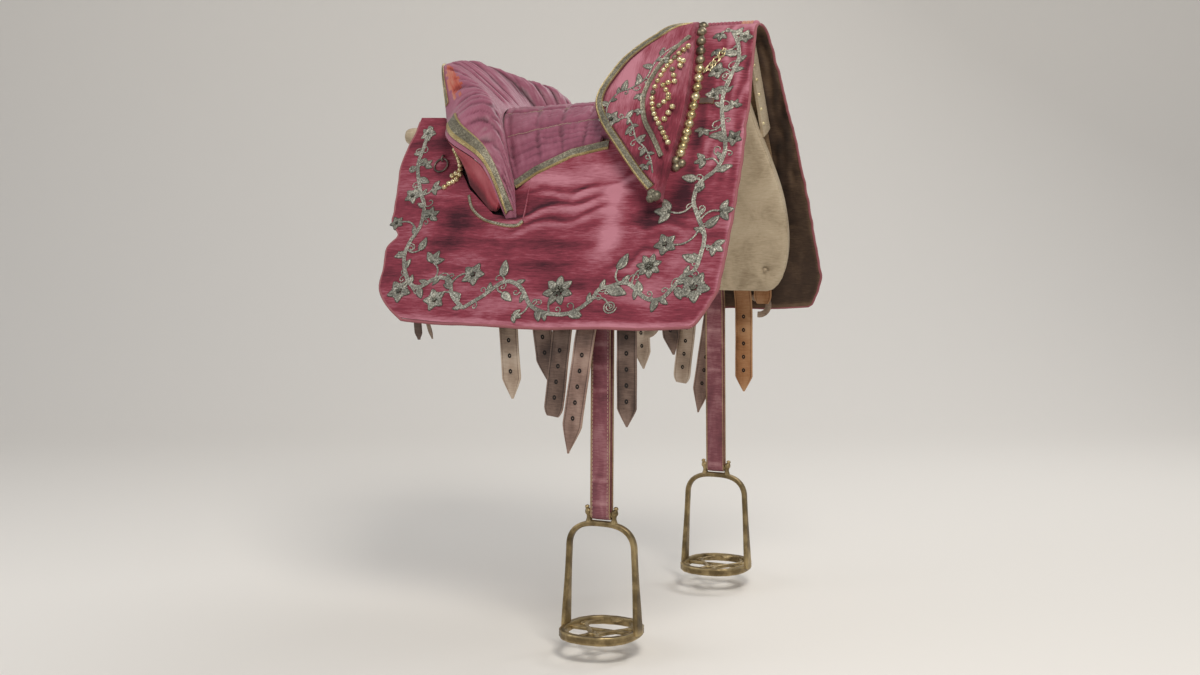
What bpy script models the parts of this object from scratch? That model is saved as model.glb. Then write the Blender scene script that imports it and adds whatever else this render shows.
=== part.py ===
"""A velvet-covered military saddle of the 18th century, taken apart into its real pieces.

Metres, +X forward, +Z up. The right side is -Y and the left side +Y. The origin lies on the
symmetry plane, under the stirrup bars, where the horse's back carries the tree.
"""
import bmesh
import bpy
import math
import numpy as np
from mathutils import Vector

# Overall form: both flanks are slanted planes that a round ridge joins
FLANK_LEAN = math.radians(28.2)
RIDGE_RADIUS = 0.0376
RIDGE_CENTRE_Z = 0.1864
FRONT_X = 0.150
FRONT_SWELL = 0.022
REAR_X = -0.362
REAR_SWELL = 0.012

# Clearances and cloth
GAP = 0.0004
CENTRE_GAP = 0.0003
PART_LINE_X = 0.050
REAR_SWELL_DROP = 0.245
NOTCH_DEPTH = 0.018
FLAP_REAR_EASE = 0.012
FLAP_WAVE_LENGTH = 0.165
FLAP_WAVE_START = 0.040
FLAP_HEM_DIP = 0.008
SEAT_LINE = ((-0.172, 0.277), (-0.138, 0.249), (-0.088, 0.222), (-0.039, 0.210), (0.050, 0.200))
SLIT_LINE = ((-0.380, 0.162), (-0.320, 0.164), (-0.300, 0.186), (-0.245, 0.288), (-0.200, 0.330),
             (-0.152, 0.338), (-0.1505, 0.337))
SLIT_FRONT_X = -0.1500
SKIN = 0.0030
FOLD_GAP = 0.0012
FOLD_DROP = 0.3520
FLAP_BOTTOM_DROP = 0.4970
FLAP_SWELL = 0.0045
FLAP_FRONT_CUT = 0.026
FLAP_REAR_CUT = 0.050
CORNER_DROP = 0.060

# Tree
ARCH_FRONT_X = 0.128
ARCH_REAR_X = 0.030
PLATE_INSET = 0.020
PLATE_REACH = 0.170
PLATE_THICK = 0.0025
PLATE_WIDTH = 0.034
BAR_TOP_DROP = 0.240
BAR_BOTTOM_DROP = 0.325
BAR_FRONT_X = 0.120
BAR_REAR_X = -0.320
CANTLE_ARCH_TOP_DROP = 0.118

# Pads that rest on the horse
PANEL_THICK = 0.030
PANEL_TAPER = 0.030
PANEL_CORNER = 0.045
PANEL_CROWN = 0.010
PANEL_TOP_DROP = 0.085
PANEL_SEAT_DROP = 0.250
PANEL_STEP_REAR_X = 0.045
PANEL_STEP_FRONT_X = 0.080
PANEL_BOTTOM_DROP = 0.440
PANEL_FRONT_X = 0.148
PANEL_REAR_X = -0.318
ROLL_RADIUS = 0.0135
ROLL_DROP = 0.185
ROLL_REAR_X = -0.392

# Seat and cantle
RIM_TIP_X = -0.172
RIM_TIP_DROP = 0.277
RIM_DEPTH = 0.078
RIM_CENTRE_Z = 0.115
SEAT_REAR_PLAY = 0.0025
SEAT_EDGE_PLAY = 0.0012
SEAT_EDGE_THICK = 0.0060
SEAT_FRONT_X = -0.058
SEAT_THICK = 0.020
SEAT_CROWN_Z = 0.120
SEAT_CHANNELS_ALONG = 4
SEAT_CHANNELS_ACROSS = 6
SEAT_CHANNEL_DEPTH = 0.0030
CANTLE_RIBS = 20
CANTLE_RIB_STEPS = 3
CANTLE_RIB_DEPTH = 0.0035
CANTLE_SKEW = 0.14
CANTLE_BOARD = 0.0040
CANTLE_BOARD_REACH = 0.93
CANTLE_BOARD_PLAY = 0.0020
CANTLE_EDGE = 0.0060
CANTLE_TIP_START = 0.80
CANTLE_TIP_FORWARD = 0.018
CANTLE_TIP_FALL = 0.057
CANTLE_YOKE_X = -0.305
CANTLE_YOKE_DEPTH = 0.034
CANTLE_YOKE_THICK = 0.016
CANTLE_YOKE_TOP_Z = 0.0975
GROUND_THICK = 0.0030
CANTLE_RIM = ((-0.362, 0.000, 0.184), (-0.350, 0.052, 0.178), (-0.308, 0.108, 0.112),
              (-0.270, 0.165, 0.084), (-0.205, 0.181, 0.038), (-0.1680, 0.1770, -0.053))
CANTLE_CREST = ((-0.335, 0.000, 0.185), (-0.312, 0.045, 0.174), (-0.268, 0.085, 0.153),
                (-0.226, 0.124, 0.126), (-0.192, 0.154, 0.050), (-0.160, 0.1775, -0.046))
CANTLE_FOOT_TOP = ((-0.318, 0.000, 0.0992), (-0.313, 0.040, 0.0985), (-0.304, 0.074, 0.0960))
CANTLE_FOOT_X = (-0.304, -0.286, -0.264, -0.238, -0.206, -0.168)
CANTLE_FOOT_BREAK = 0.36
CANTLE_FOOT_PLAY = 0.0060
CANTLE_FOOT_LIFT = 0.0012
BRAID_WIDTH = 0.0150
BRAID_THICK = 0.0016
BRAID_PLAY = 0.0012
BRAID_TOP_DROP = 0.004

# Pommel wings, outlined by places along the saddle and down from the ridge
WING_REAR = ((0.060, 0.314), (0.030, 0.284), (-0.008, 0.240), (-0.046, 0.192), (-0.060, 0.150),
             (-0.040, 0.100), (-0.006, 0.052), (0.030, 0.018), (0.054, 0.003))
WING_FRONT = ((0.068, 0.312), (0.067, 0.285), (0.069, 0.255), (0.072, 0.215), (0.074, 0.175),
              (0.073, 0.130), (0.069, 0.085), (0.064, 0.040), (0.058, 0.003))
WING_RIDGE = 0.0035
WING_RISE = 0.100
INNER_BRAID = ((0.0590, 0.070), (0.0400, 0.110), (0.0200, 0.156), (0.0360, 0.200), (0.0610, 0.238))
FIELD_NAILS = ((0.0640, 0.090), (0.0500, 0.116), (0.0400, 0.150), (0.0500, 0.186), (0.0650, 0.218))
RIM_BRAID_B = 0.02
PAD_REACH = 0.200
PAD_FLOOR_Z = 0.085
WING_THICK = 0.024
WING_CROWN = 0.003
WING_PAD_REAR_X = -0.052
PAD_RIDGE_X = 0.018
PAD_INSET = 0.006
PAD_RAMP = 1.4
PAD_SEAT_Z = 0.121

# Nails
NAIL_LINE = ((0.0680, 0.006), (0.0765, 0.060), (0.0825, 0.110), (0.0835, 0.160), (0.0815, 0.205),
             (0.0785, 0.240))
REAR_NAILS = ((-0.286, 0.222), (-0.278, 0.240), (-0.266, 0.262), (-0.276, 0.280), (-0.292, 0.284))
BIG_NAIL_RADIUS = 0.0062
BIG_NAIL_COUNT = 16
SMALL_NAIL_RADIUS = 0.0034
SMALL_NAIL_HEIGHT = 0.0028
TAPE_THICK = 0.0012

# Hook and tab on the right front
CLASP_X = 0.094
CLASP_DROP = 0.098
CLASP_LENGTH = 0.040
CLASP_WIDTH = 0.0095
CLASP_THICK = 0.0026
TAB_X = 0.102
TAB_DROP = 0.150
TAB_LENGTH = 0.020
SEAT_BRAID_FRONT_X = -0.036
SEAT_BRAID_REAR_X = -0.147

# Stirrups, leathers and straps
BILLET_HEAD = 0.022
BILLET_PLUMB_DROP = 0.440
BILLET_HOLES = 4
BILLET_PLAIN_LENGTH = 0.15
SHARP_POINT = (0.06, 0.55)
BLUNT_POINT = (0.60, 0.92)
LEATHER_BEND_EASE = 0.004
EYE_HALF = 0.0185
EYE_HORN = 0.0080
STIRRUP_ARCH_DROP = 0.0125
STIRRUP_SHOULDER = 0.036
STIRRUP_TOP_SHARE = 0.90
STIRRUP_BRANCH_THICK = 0.0060
SCROLL_X = 0.020
SCROLL_SWING = 0.013
SCROLL_WIDTH = 0.0062
SCROLL_THICK = 0.0050
STAPLE_RADIUS = 0.0048
STAPLE_WIRE = 0.0012
STAPLE_FOOT = 0.0008
BAR_ROD_RADIUS = 0.0042
STIRRUP_BAR_LENGTH = 0.052
LEATHER_WIDTH = 0.0290
LEATHER_THICK = 0.0028
LEATHER_BEND_DROP = 0.456
LEATHER_BOTTOM_Z = -0.457
EYE_ROD_RADIUS = 0.0036
STIRRUP_HEIGHT = 0.157
STIRRUP_WIDTH = 0.114
STIRRUP_BRANCH = 0.0085
STIRRUP_BRANCH_FOOT = 0.0190
TREAD_DEPTH = 0.108
TREAD_INSET = 0.0040
TREAD_HEIGHT = 0.011
TREAD_RIM = 0.0085
BILLET_WIDTH = 0.0290
BILLET_THICK = 0.0026
BILLET_HOLE = 0.0026
BILLET_TOP_DROP = 0.333

# Rear ring
RING_RADIUS = 0.0110
RING_WIRE = 0.0015
STAPLE_X = -0.303
STAPLE_DROP = 0.236

SIDES = {"right": -1.0, "left": 1.0}
SIN = math.sin(FLANK_LEAN)
COS = math.cos(FLANK_LEAN)
RIDGE_ARC = RIDGE_RADIUS * (math.pi / 2 - FLANK_LEAN)
PART_U = (PART_LINE_X - FRONT_X) / (REAR_X - FRONT_X)
SLIT_U = (SLIT_FRONT_X - FRONT_X) / (REAR_X - FRONT_X)

# Depth layers under the flap, outermost first
STRAP_PLAY = 0.0006
LAYER_STEP = BILLET_THICK + STRAP_PLAY
BAR_LIFT = -(SKIN + 3 * LAYER_STEP + GAP)
ROD_LIFT = BAR_LIFT - GAP - LEATHER_THICK - GAP - BAR_ROD_RADIUS
PANEL_LIFT = ROD_LIFT - BAR_ROD_RADIUS - GAP - LEATHER_THICK - GAP
ROD_DROP = BAR_BOTTOM_DROP + 0.016
LEATHER_SWING = math.radians(12)
LEATHER_TOP_PLAY = LEATHER_WIDTH / 2 * math.sin(LEATHER_SWING) + GAP / 2

VELVET = ((0.36, 0.035, 0.075), 0.75, 0.0)
SATIN = ((0.42, 0.115, 0.20), 0.55, 0.0)
GALLOON = ((0.30, 0.27, 0.18), 0.50, 0.4)
BRASS = ((0.52, 0.38, 0.16), 0.35, 1.0)
DARK_BRASS = ((0.24, 0.17, 0.08), 0.42, 1.0)
IRON = ((0.10, 0.09, 0.085), 0.55, 1.0)
WOOD = ((0.30, 0.18, 0.09), 0.70, 0.0)
SUEDE = ((0.42, 0.34, 0.23), 0.90, 0.0)
RED_LEATHER = ((0.20, 0.04, 0.05), 0.45, 0.0)
BROWN_LEATHER = ((0.13, 0.075, 0.045), 0.60, 0.0)
PALE_LEATHER = ((0.30, 0.21, 0.14), 0.65, 0.0)
ORANGE_LEATHER = ((0.34, 0.15, 0.05), 0.60, 0.0)

# Name, top place along the saddle, slant, length, layer, point and finish of each billet
BILLETS = (
    ("billet_rear_", -0.150, math.radians(4), 0.262, 2, SHARP_POINT, PALE_LEATHER),
    ("billet_second_", -0.110, math.radians(8), 0.236, 2, SHARP_POINT, BROWN_LEATHER),
    ("billet_third_", -0.032, math.radians(-7), 0.284, 1, BLUNT_POINT, BROWN_LEATHER),
    ("billet_fourth_", 0.013, math.radians(-9), 0.334, 0, SHARP_POINT, PALE_LEATHER),
    ("billet_front_", 0.043, math.radians(0), 0.291, 2, SHARP_POINT, BROWN_LEATHER),
    ("billet_short_", 0.078, math.radians(0), 0.149, 1, BLUNT_POINT, ORANGE_LEATHER),
)


def skin(x, drop, lift, side):
    """A place on the saddle's skin: drop is the way down from the ridge, lift stands proud of it."""
    if drop < RIDGE_ARC:
        turn = drop / RIDGE_RADIUS
        y = (RIDGE_RADIUS + lift) * math.sin(turn)
        z = RIDGE_CENTRE_Z + (RIDGE_RADIUS + lift) * math.cos(turn)
    else:
        y = (RIDGE_RADIUS + lift) * COS + (drop - RIDGE_ARC) * SIN
        z = RIDGE_CENTRE_Z + (RIDGE_RADIUS + lift) * SIN - (drop - RIDGE_ARC) * COS
    return Vector((x, side * y, z))


def outward(side):
    """The direction that points straight out of a flank."""
    return Vector((0.0, side * COS, SIN))


def downward(side):
    """The direction that runs straight down a flank."""
    return Vector((0.0, side * SIN, -COS))


def ease(value):
    """Smooth step between 0 and 1."""
    value = min(max(value, 0.0), 1.0)
    return value * value * (3 - 2 * value)


def along(points, t):
    """A smooth curve through evenly spaced design points, for t from 0 to 1."""
    last = len(points) - 1
    place = min(max(t, 0.0), 1.0) * last
    k = min(int(place), last - 1)
    f = place - k
    p1 = np.array(points[k], dtype=float)
    p2 = np.array(points[k + 1], dtype=float)
    p0 = np.array(points[k - 1], dtype=float) if k > 0 else 2 * p1 - p2
    p3 = np.array(points[k + 2], dtype=float) if k + 2 <= last else 2 * p2 - p1
    return 0.5 * (2 * p1 + (p2 - p0) * f + (2 * p0 - 5 * p1 + 4 * p2 - p3) * f ** 2
                  + (3 * p1 - p0 - 3 * p2 + p3) * f ** 3)


def steps(count):
    """Evenly spaced values from 0 to 1, both ends included."""
    return [i / count for i in range(count + 1)]


def material(name, finish):
    """A Principled material of the piece's own."""
    colour, roughness, metallic = finish
    made = bpy.data.materials.new(name + "_finish")
    made.use_nodes = True
    shader = made.node_tree.nodes["Principled BSDF"]
    shader.inputs["Base Color"].default_value = (*colour, 1.0)
    shader.inputs["Roughness"].default_value = roughness
    shader.inputs["Metallic"].default_value = metallic
    made.diffuse_color = (*colour, 1.0)
    return made


def face_out(bm):
    """Turn every face outward, judged by the volume that the faces enclose."""
    bmesh.ops.recalc_face_normals(bm, faces=bm.faces[:])
    if bm.calc_volume(signed=True) < 0:
        bmesh.ops.reverse_faces(bm, faces=bm.faces[:])


def place(name, bm, finish, origin=(0.0, 0.0, 0.0), parent=None, sharp=35):
    """Turn a bmesh in world places into an object whose origin lies where it turns or rests."""
    face_out(bm)
    shift = Vector(origin)
    for vertex in bm.verts:
        vertex.co -= shift
    mesh = bpy.data.meshes.new(name)
    bm.to_mesh(mesh)
    bm.free()
    mesh.shade_smooth()
    mesh.set_sharp_from_angle(angle=math.radians(sharp))
    made = bpy.data.objects.new(name, mesh)
    made.location = shift
    bpy.context.scene.collection.objects.link(made)
    if finish is not None:
        mesh.materials.append(material(name, finish))
    if parent is not None:
        made.parent = parent
        made.location = shift - parent.location
    return made


def grid_solid(outer, inner):
    """A closed solid between two grids of places; a place that is None leaves its cells out."""
    bm = bmesh.new()
    top = [[bm.verts.new(p) if p is not None else None for p in row] for row in outer]
    low = [[bm.verts.new(p) if p is not None else None for p in row] for row in inner]
    edges = {}
    for i in range(len(top) - 1):
        for j in range(len(top[0]) - 1):
            cell = ((i, j), (i + 1, j), (i + 1, j + 1), (i, j + 1))
            if any(top[r][c] is None for r, c in cell):
                continue
            bm.faces.new([top[r][c] for r, c in cell])
            bm.faces.new([low[r][c] for r, c in reversed(cell)])
            for start, end in zip(cell, cell[1:] + cell[:1]):
                edges[(start, end)] = True
    for (r1, c1), (r2, c2) in edges:
        if ((r2, c2), (r1, c1)) not in edges:
            bm.faces.new((top[r2][c2], top[r1][c1], low[r1][c1], low[r2][c2]))
    return bm


def sweep(rings, closed=False):
    """A closed solid through a list of rings, with filled ends unless it closes on itself."""
    bm = bmesh.new()
    loops = [[bm.verts.new(p) for p in ring] for ring in rings]
    count = len(loops[0])
    pairs = len(loops) if closed else len(loops) - 1
    for i in range(pairs):
        here = loops[i]
        there = loops[(i + 1) % len(loops)]
        for j in range(count):
            k = (j + 1) % count
            bm.faces.new((here[j], here[k], there[k], there[j]))
    if not closed:
        bm.faces.new(loops[0])
        bm.faces.new(loops[-1])
    return bm


def tube(path, radius, sides=8, closed=False, up=(0, 0, 1)):
    """Rings of a round tube along a path; radius may be a number or one for each point."""
    rings = []
    count = len(path)
    reference = Vector(up)
    for i, centre in enumerate(path):
        before = path[i - 1] if (i > 0 or closed) else path[i]
        after = path[(i + 1) % count] if (i < count - 1 or closed) else path[i]
        heading = (Vector(after) - Vector(before)).normalized()
        side = heading.cross(reference)
        if side.length < 1e-4:
            side = heading.cross(Vector((0.31, 0.95, 0.0)))
        side.normalize()
        lift = side.cross(heading)
        size = radius[i] if isinstance(radius, (list, tuple)) else radius
        ring = []
        for k in range(sides):
            turn = 2 * math.pi * (k + 0.5) / sides
            ring.append(Vector(centre) + size * (math.cos(turn) * side + math.sin(turn) * lift))
        rings.append(ring)
    return rings


def band(path, width, low, high, side, taper=1.0):
    """Rings of a flat tape laid on the skin along a list of (x, drop) places."""
    rings = []
    count = len(path)
    for i, (x, drop) in enumerate(path):
        before = path[max(i - 1, 0)]
        after = path[min(i + 1, count - 1)]
        heading = Vector((after[0] - before[0], after[1] - before[1])).normalized()
        across = Vector((-heading.y, heading.x)) * width / 2
        rings.append([
            skin(x - across.x, drop - across.y, low, side),
            skin(x + across.x, drop + across.y, low, side),
            skin(x + across.x * taper, drop + across.y * taper, high, side),
            skin(x - across.x * taper, drop - across.y * taper, high, side),
        ])
    return rings


def dome(centre, normal, radius, height, sides=6, sunk=0.0006):
    """Rings and tip of one domed nail head; its foot is sunk into the tape that holds it."""
    normal = Vector(normal).normalized()
    first = normal.orthogonal().normalized()
    second = normal.cross(first)
    rings = []
    for share, rise in ((1.0, -sunk), (0.86, 0.55 * height), (0.40, height)):
        ring = []
        for k in range(sides):
            turn = 2 * math.pi * k / sides
            spread = share * radius * (math.cos(turn) * first + math.sin(turn) * second)
            ring.append(Vector(centre) + spread + rise * normal)
        rings.append(ring)
    return rings


def joined(name, base, extras, operation="UNION"):
    """Join or cut the base object with bodies kept in one hidden guide object."""
    bm = bmesh.new()
    for rings, closed in extras:
        part = sweep(rings, closed)
        face_out(part)
        mesh = bpy.data.meshes.new("guide")
        part.to_mesh(mesh)
        part.free()
        bm.from_mesh(mesh)
        bpy.data.meshes.remove(mesh)
    mesh = bpy.data.meshes.new(name + "_guide")
    for vertex in bm.verts:
        vertex.co -= base.matrix_basis.translation
    bm.to_mesh(mesh)
    bm.free()
    guide = bpy.data.objects.new(name + "_guide", mesh)
    guide.location = base.location
    guide.parent = base.parent
    guide.hide_render = True
    guide.display_type = "WIRE"
    bpy.context.scene.collection.objects.link(guide)
    modifier = base.modifiers.new(name, "BOOLEAN")
    modifier.operation = operation
    modifier.solver = "EXACT"
    modifier.use_self = True
    modifier.object = guide
    return guide


def front_edge(drop):
    """Front edge of the velvet: it swells forward, then cuts back to the lower corner."""
    x = FRONT_X + FRONT_SWELL * math.sin(math.pi / 2 * min(drop / FOLD_DROP, 1.0))
    corner = max(drop - (FLAP_BOTTOM_DROP - CORNER_DROP), 0.0) / CORNER_DROP
    return x - FLAP_FRONT_CUT * corner ** 1.5


def rear_edge(drop):
    """Rear edge of the velvet, with the notch that parts the skirt from the flap."""
    x = REAR_X - REAR_SWELL * math.exp(-((drop - REAR_SWELL_DROP) / 0.05) ** 2)
    x += NOTCH_DEPTH * math.exp(-((drop - FOLD_DROP - 0.012) / 0.014) ** 2)
    corner = max(drop - (FLAP_BOTTOM_DROP - CORNER_DROP), 0.0) / CORNER_DROP
    return x + FLAP_REAR_EASE * ease((drop - FOLD_DROP) / 0.08) + FLAP_REAR_CUT * corner ** 2


def seat_line(x):
    """How far down the ridge the seat's edge lies at each place along the saddle."""
    return float(np.interp(x, [p[0] for p in SEAT_LINE], [p[1] for p in SEAT_LINE]))


def slit_line(x):
    """How far down the ridge the housing starts behind the seat, where the cantle passes through."""
    return float(np.interp(x, [p[0] for p in SLIT_LINE], [p[1] for p in SLIT_LINE]))


def housing_top(x):
    """How far down the ridge the housing's lower part starts at each place along the saddle."""
    return seat_line(x) if x > SLIT_FRONT_X else slit_line(x)


def cloth_grid(columns, rows, top, bottom, lift, side, ridge_rows=()):
    """A grid on the skin between two lines, fanned between the front and rear edges.

    The ridge rows come first and exist only ahead of the part line, where the cloth climbs
    over the pommel.
    """
    grid = []
    for u in columns:
        x_here = FRONT_X + u * (REAR_X - FRONT_X)
        line = []
        for drop in ridge_rows:
            x = front_edge(drop) + u * (rear_edge(drop) - front_edge(drop))
            line.append(skin(x, drop, lift(x, drop), side) if u <= PART_U + 1e-6 else None)
        for v in rows:
            drop = top(x_here) + v * (bottom(x_here) - top(x_here))
            x = front_edge(drop) + u * (rear_edge(drop) - front_edge(drop))
            line.append(skin(x, drop, lift(x, drop), side))
        grid.append(line)
    return grid


def slab(name, finish, xs, drops, low, high, side):
    """A flat-sided board on a flank between two lifts."""
    outer = [[skin(x, d, high, side) for d in drops] for x in xs]
    inner = [[skin(x, d, low, side) for d in drops] for x in xs]
    return place(name, grid_solid(outer, inner), finish)


def arch(name, finish, front, rear, low, high, reach, turns=7):
    """A curved yoke that bends over the ridge from one flank to the other."""
    path = [-reach, -RIDGE_ARC - 0.004]
    path += [RIDGE_ARC * (2 * t - 1) for t in steps(turns)]
    path += [RIDGE_ARC + 0.004, reach]
    outer = []
    inner = []
    for s in path:
        side = -1.0 if s < 0 else 1.0
        outer.append([skin(front, abs(s), high, side), skin(rear, abs(s), high, side)])
        inner.append([skin(front, abs(s), low, side), skin(rear, abs(s), low, side)])
    return place(name, grid_solid(outer, inner), finish)


def make_tree():
    """The wooden tree: two yokes, two side bars, the iron plate and the leather ground seat."""
    yoke_high = -(SKIN + GAP)
    plate_low = PANEL_LIFT + GAP
    yoke_low = plate_low + PLATE_THICK + GAP
    arch("pommel_yoke", WOOD, ARCH_FRONT_X, ARCH_REAR_X, yoke_low, yoke_high, BAR_TOP_DROP - GAP)
    arch("pommel_plate", IRON, ARCH_FRONT_X - PLATE_INSET, ARCH_FRONT_X - PLATE_INSET - PLATE_WIDTH,
         plate_low, yoke_low - GAP, PLATE_REACH)
    for place_name, side in SIDES.items():
        xs = [BAR_REAR_X, -0.20, -0.05, BAR_FRONT_X]
        slab("side_bar_" + place_name, WOOD, xs, [BAR_TOP_DROP, BAR_BOTTOM_DROP],
             PANEL_LIFT + GAP, BAR_LIFT, side)


def make_panels():
    """The stuffed suede pads on the horse's back, flat where they bear and crowned at their rims."""
    inner_lift = PANEL_LIFT - PANEL_THICK
    us = [0.0, 0.03, 0.08, 0.14, 0.19, 0.24, 0.30, 0.42, 0.58, 0.76, 0.90, 0.965, 1.0]
    vs = [0.0, 0.05, 0.14, 0.30, 0.50, 0.68, 0.82, 0.92, 0.97, 1.0]
    for place_name, side in SIDES.items():
        outer = []
        inner = []
        for u in us:
            outer_row = []
            inner_row = []
            for v in vs:
                place_x = PANEL_FRONT_X + u * (PANEL_REAR_X - PANEL_FRONT_X)
                rise = ease((place_x - PANEL_STEP_REAR_X) / (PANEL_STEP_FRONT_X - PANEL_STEP_REAR_X))
                top = PANEL_SEAT_DROP + rise * (PANEL_TOP_DROP - PANEL_SEAT_DROP)
                drop = top + v * (PANEL_BOTTOM_DROP - top)
                corner = max(v - 0.80, 0.0) / 0.20
                front = PANEL_FRONT_X - PANEL_TAPER * (1 - ease(v / 0.6)) - PANEL_CORNER * corner ** 2
                rear = PANEL_REAR_X + PANEL_CORNER * corner ** 2
                x = front + u * (rear - front)
                rim = min(u, 1 - u, v, 1 - v)
                round_off = PANEL_CROWN * (1 - ease(rim / 0.14))
                outer_row.append(skin(x, drop, PANEL_LIFT - 0.35 * round_off, side))
                inner_row.append(skin(x, drop, inner_lift + round_off, side))
            outer.append(outer_row)
            inner.append(inner_row)
        place("panel_" + place_name, grid_solid(outer, inner), SUEDE, sharp=60)
        roll_lift = -(SKIN + GAP + ROLL_RADIUS)
        centre = skin(CANTLE_YOKE_X - CANTLE_YOKE_DEPTH / 2 - GAP, ROLL_DROP, roll_lift, side)
        end = skin(ROLL_REAR_X, ROLL_DROP, roll_lift, side)
        path = [centre.lerp(end, t) for t in (0, 0.3, 0.6, 0.85, 0.96, 1.0)]
        sizes = [ROLL_RADIUS * k for k in (0.9, 1.0, 1.0, 0.97, 0.82, 0.45)]
        place("rear_roll_" + place_name, sweep(tube(path, sizes, 12)), SUEDE, sharp=60)


def make_housing():
    """The velvet housing over the tree and the hinged flap below it, one pair each side."""
    columns = [0.0, 0.05, 0.12, PART_U, 0.27, 0.35, 0.43, 0.51,
               SLIT_U - 0.001, SLIT_U + 0.0015, 0.63, 0.68, 0.73, 0.78, 0.82, 0.85, 0.88, 0.94, 1.0]
    rows = steps(4)
    ridge_rows = [CENTRE_GAP + RIDGE_ARC * t for t in steps(6)] + [0.08, 0.14]
    for place_name, side in SIDES.items():
        def bottom(_):
            return FOLD_DROP - FOLD_GAP

        outer = cloth_grid(columns, rows, housing_top, bottom, lambda x, d: 0.0, side, ridge_rows)
        inner = cloth_grid(columns, rows, housing_top, bottom, lambda x, d: -SKIN, side, ridge_rows)
        place("housing_" + place_name, grid_solid(outer, inner), VELVET)

        def wave(x, drop):
            reach = ease((drop - FOLD_DROP) / (FLAP_BOTTOM_DROP - FOLD_DROP))
            ripple = 0.5 + 0.5 * math.sin(2 * math.pi * (x + FLAP_WAVE_START) / FLAP_WAVE_LENGTH)
            return FLAP_SWELL * reach * ripple

        def hem(x):
            return FLAP_BOTTOM_DROP + FLAP_HEM_DIP * math.sin(math.pi * (x - REAR_X) / (FRONT_X - REAR_X))

        flap_columns = steps(20)
        flap_rows = [0.0, 0.12, 0.28, 0.45, 0.60, 0.74, 0.86, 0.94, 1.0]
        outer = cloth_grid(flap_columns, flap_rows, lambda x: FOLD_DROP + FOLD_GAP, hem, wave, side)
        inner = cloth_grid(flap_columns, flap_rows, lambda x: FOLD_DROP + FOLD_GAP, hem,
                           lambda x, d: wave(x, d) - SKIN, side)
        place("flap_" + place_name, grid_solid(outer, inner), VELVET,
              origin=skin(0.0, FOLD_DROP, GAP, side))


def seat_rim(w):
    """The rear rim of the seat where the cantle roll rises, for w from -1 right to 1 left."""
    tip = skin(RIM_TIP_X, RIM_TIP_DROP, 0.0015, 1.0)
    spread = abs(w)
    x = RIM_TIP_X - RIM_DEPTH * (1 - spread ** 2)
    y = tip.y * spread ** 0.95
    z = tip.z + (RIM_CENTRE_Z - tip.z) * (1 - spread ** 2.2)
    return Vector((x, math.copysign(y, w), z))


def make_seat():
    """The quilted satin seat: crowned across, dipped along, with sewn channels both ways."""
    us = steps(SEAT_CHANNELS_ACROSS * 3)
    ws = [2 * t - 1 for t in steps((SEAT_CHANNELS_ALONG + 2) * 3)]
    outer = []
    inner = []
    for u in us:
        x_edge = SEAT_FRONT_X + u * (RIM_TIP_X + SEAT_REAR_PLAY - SEAT_FRONT_X)
        edge = skin(x_edge, seat_line(x_edge) - SEAT_EDGE_PLAY, -0.0005, 1.0)
        crown_z = SEAT_CROWN_Z + (RIM_CENTRE_Z - SEAT_CROWN_Z) * ease(u)
        row_out = []
        row_in = []
        for w in ws:
            spread = abs(w)
            rear_pull = (RIM_DEPTH - SEAT_REAR_PLAY) * u * (1 - spread ** 2)
            height = 1 - spread ** 2.2
            y = math.copysign(edge.y * spread ** 0.95, w)
            z = edge.z + (crown_z - edge.z) * height
            channel_x = math.cos(math.pi * SEAT_CHANNELS_ACROSS * u) ** 8
            channel_y = math.cos(math.pi * (SEAT_CHANNELS_ALONG + 2) / 2 * (w + 1)) ** 8
            quilt = SEAT_CHANNEL_DEPTH * max(channel_x, channel_y) * ease((1 - spread) * 5)
            x = x_edge - rear_pull
            row_out.append(Vector((x, y, z - quilt)))
            thick = SEAT_EDGE_THICK + (SEAT_THICK - SEAT_EDGE_THICK) * ease((1 - spread) * 3)
            row_in.append(Vector((x, y * 0.985, z - thick)))
        outer.append(row_out)
        inner.append(row_in)
    place("seat_cushion", grid_solid(outer, inner), SATIN, sharp=60)


def make_ground_seat():
    """The strained leather under the cushion, its edges drawn down to the side bars."""
    outer = []
    inner = []
    for u in steps(6):
        x_edge = SEAT_FRONT_X + u * (RIM_TIP_X + SEAT_REAR_PLAY - SEAT_FRONT_X)
        crown_z = SEAT_CROWN_Z + (RIM_CENTRE_Z - SEAT_CROWN_Z) * ease(u)
        edge = skin(x_edge, seat_line(x_edge) - SEAT_EDGE_PLAY, -0.0005, 1.0)
        row_out = []
        row_in = []
        for w in (-1.0, -0.74, -0.5, -0.25, 0.0, 0.25, 0.5, 0.74, 1.0):
            spread = abs(w)
            rear_pull = (RIM_DEPTH - SEAT_REAR_PLAY) * u * (1 - spread ** 2)
            if spread == 1.0:
                foot = skin(x_edge, BAR_TOP_DROP - GAP, BAR_LIFT - 0.002, w)
                row_out.append(foot)
                row_in.append(foot - GROUND_THICK * outward(w))
                continue
            y = math.copysign(edge.y * spread ** 0.95, w)
            z = edge.z + (crown_z - edge.z) * (1 - spread ** 2.2)
            z -= SEAT_THICK + SEAT_CHANNEL_DEPTH
            row_out.append(Vector((x_edge - rear_pull, y * 0.93, z)))
            row_in.append(Vector((x_edge - rear_pull, y * 0.90, z - GROUND_THICK)))
        outer.append(row_out)
        inner.append(row_in)
    place("ground_seat", grid_solid(outer, inner), BROWN_LEATHER, sharp=60)


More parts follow.
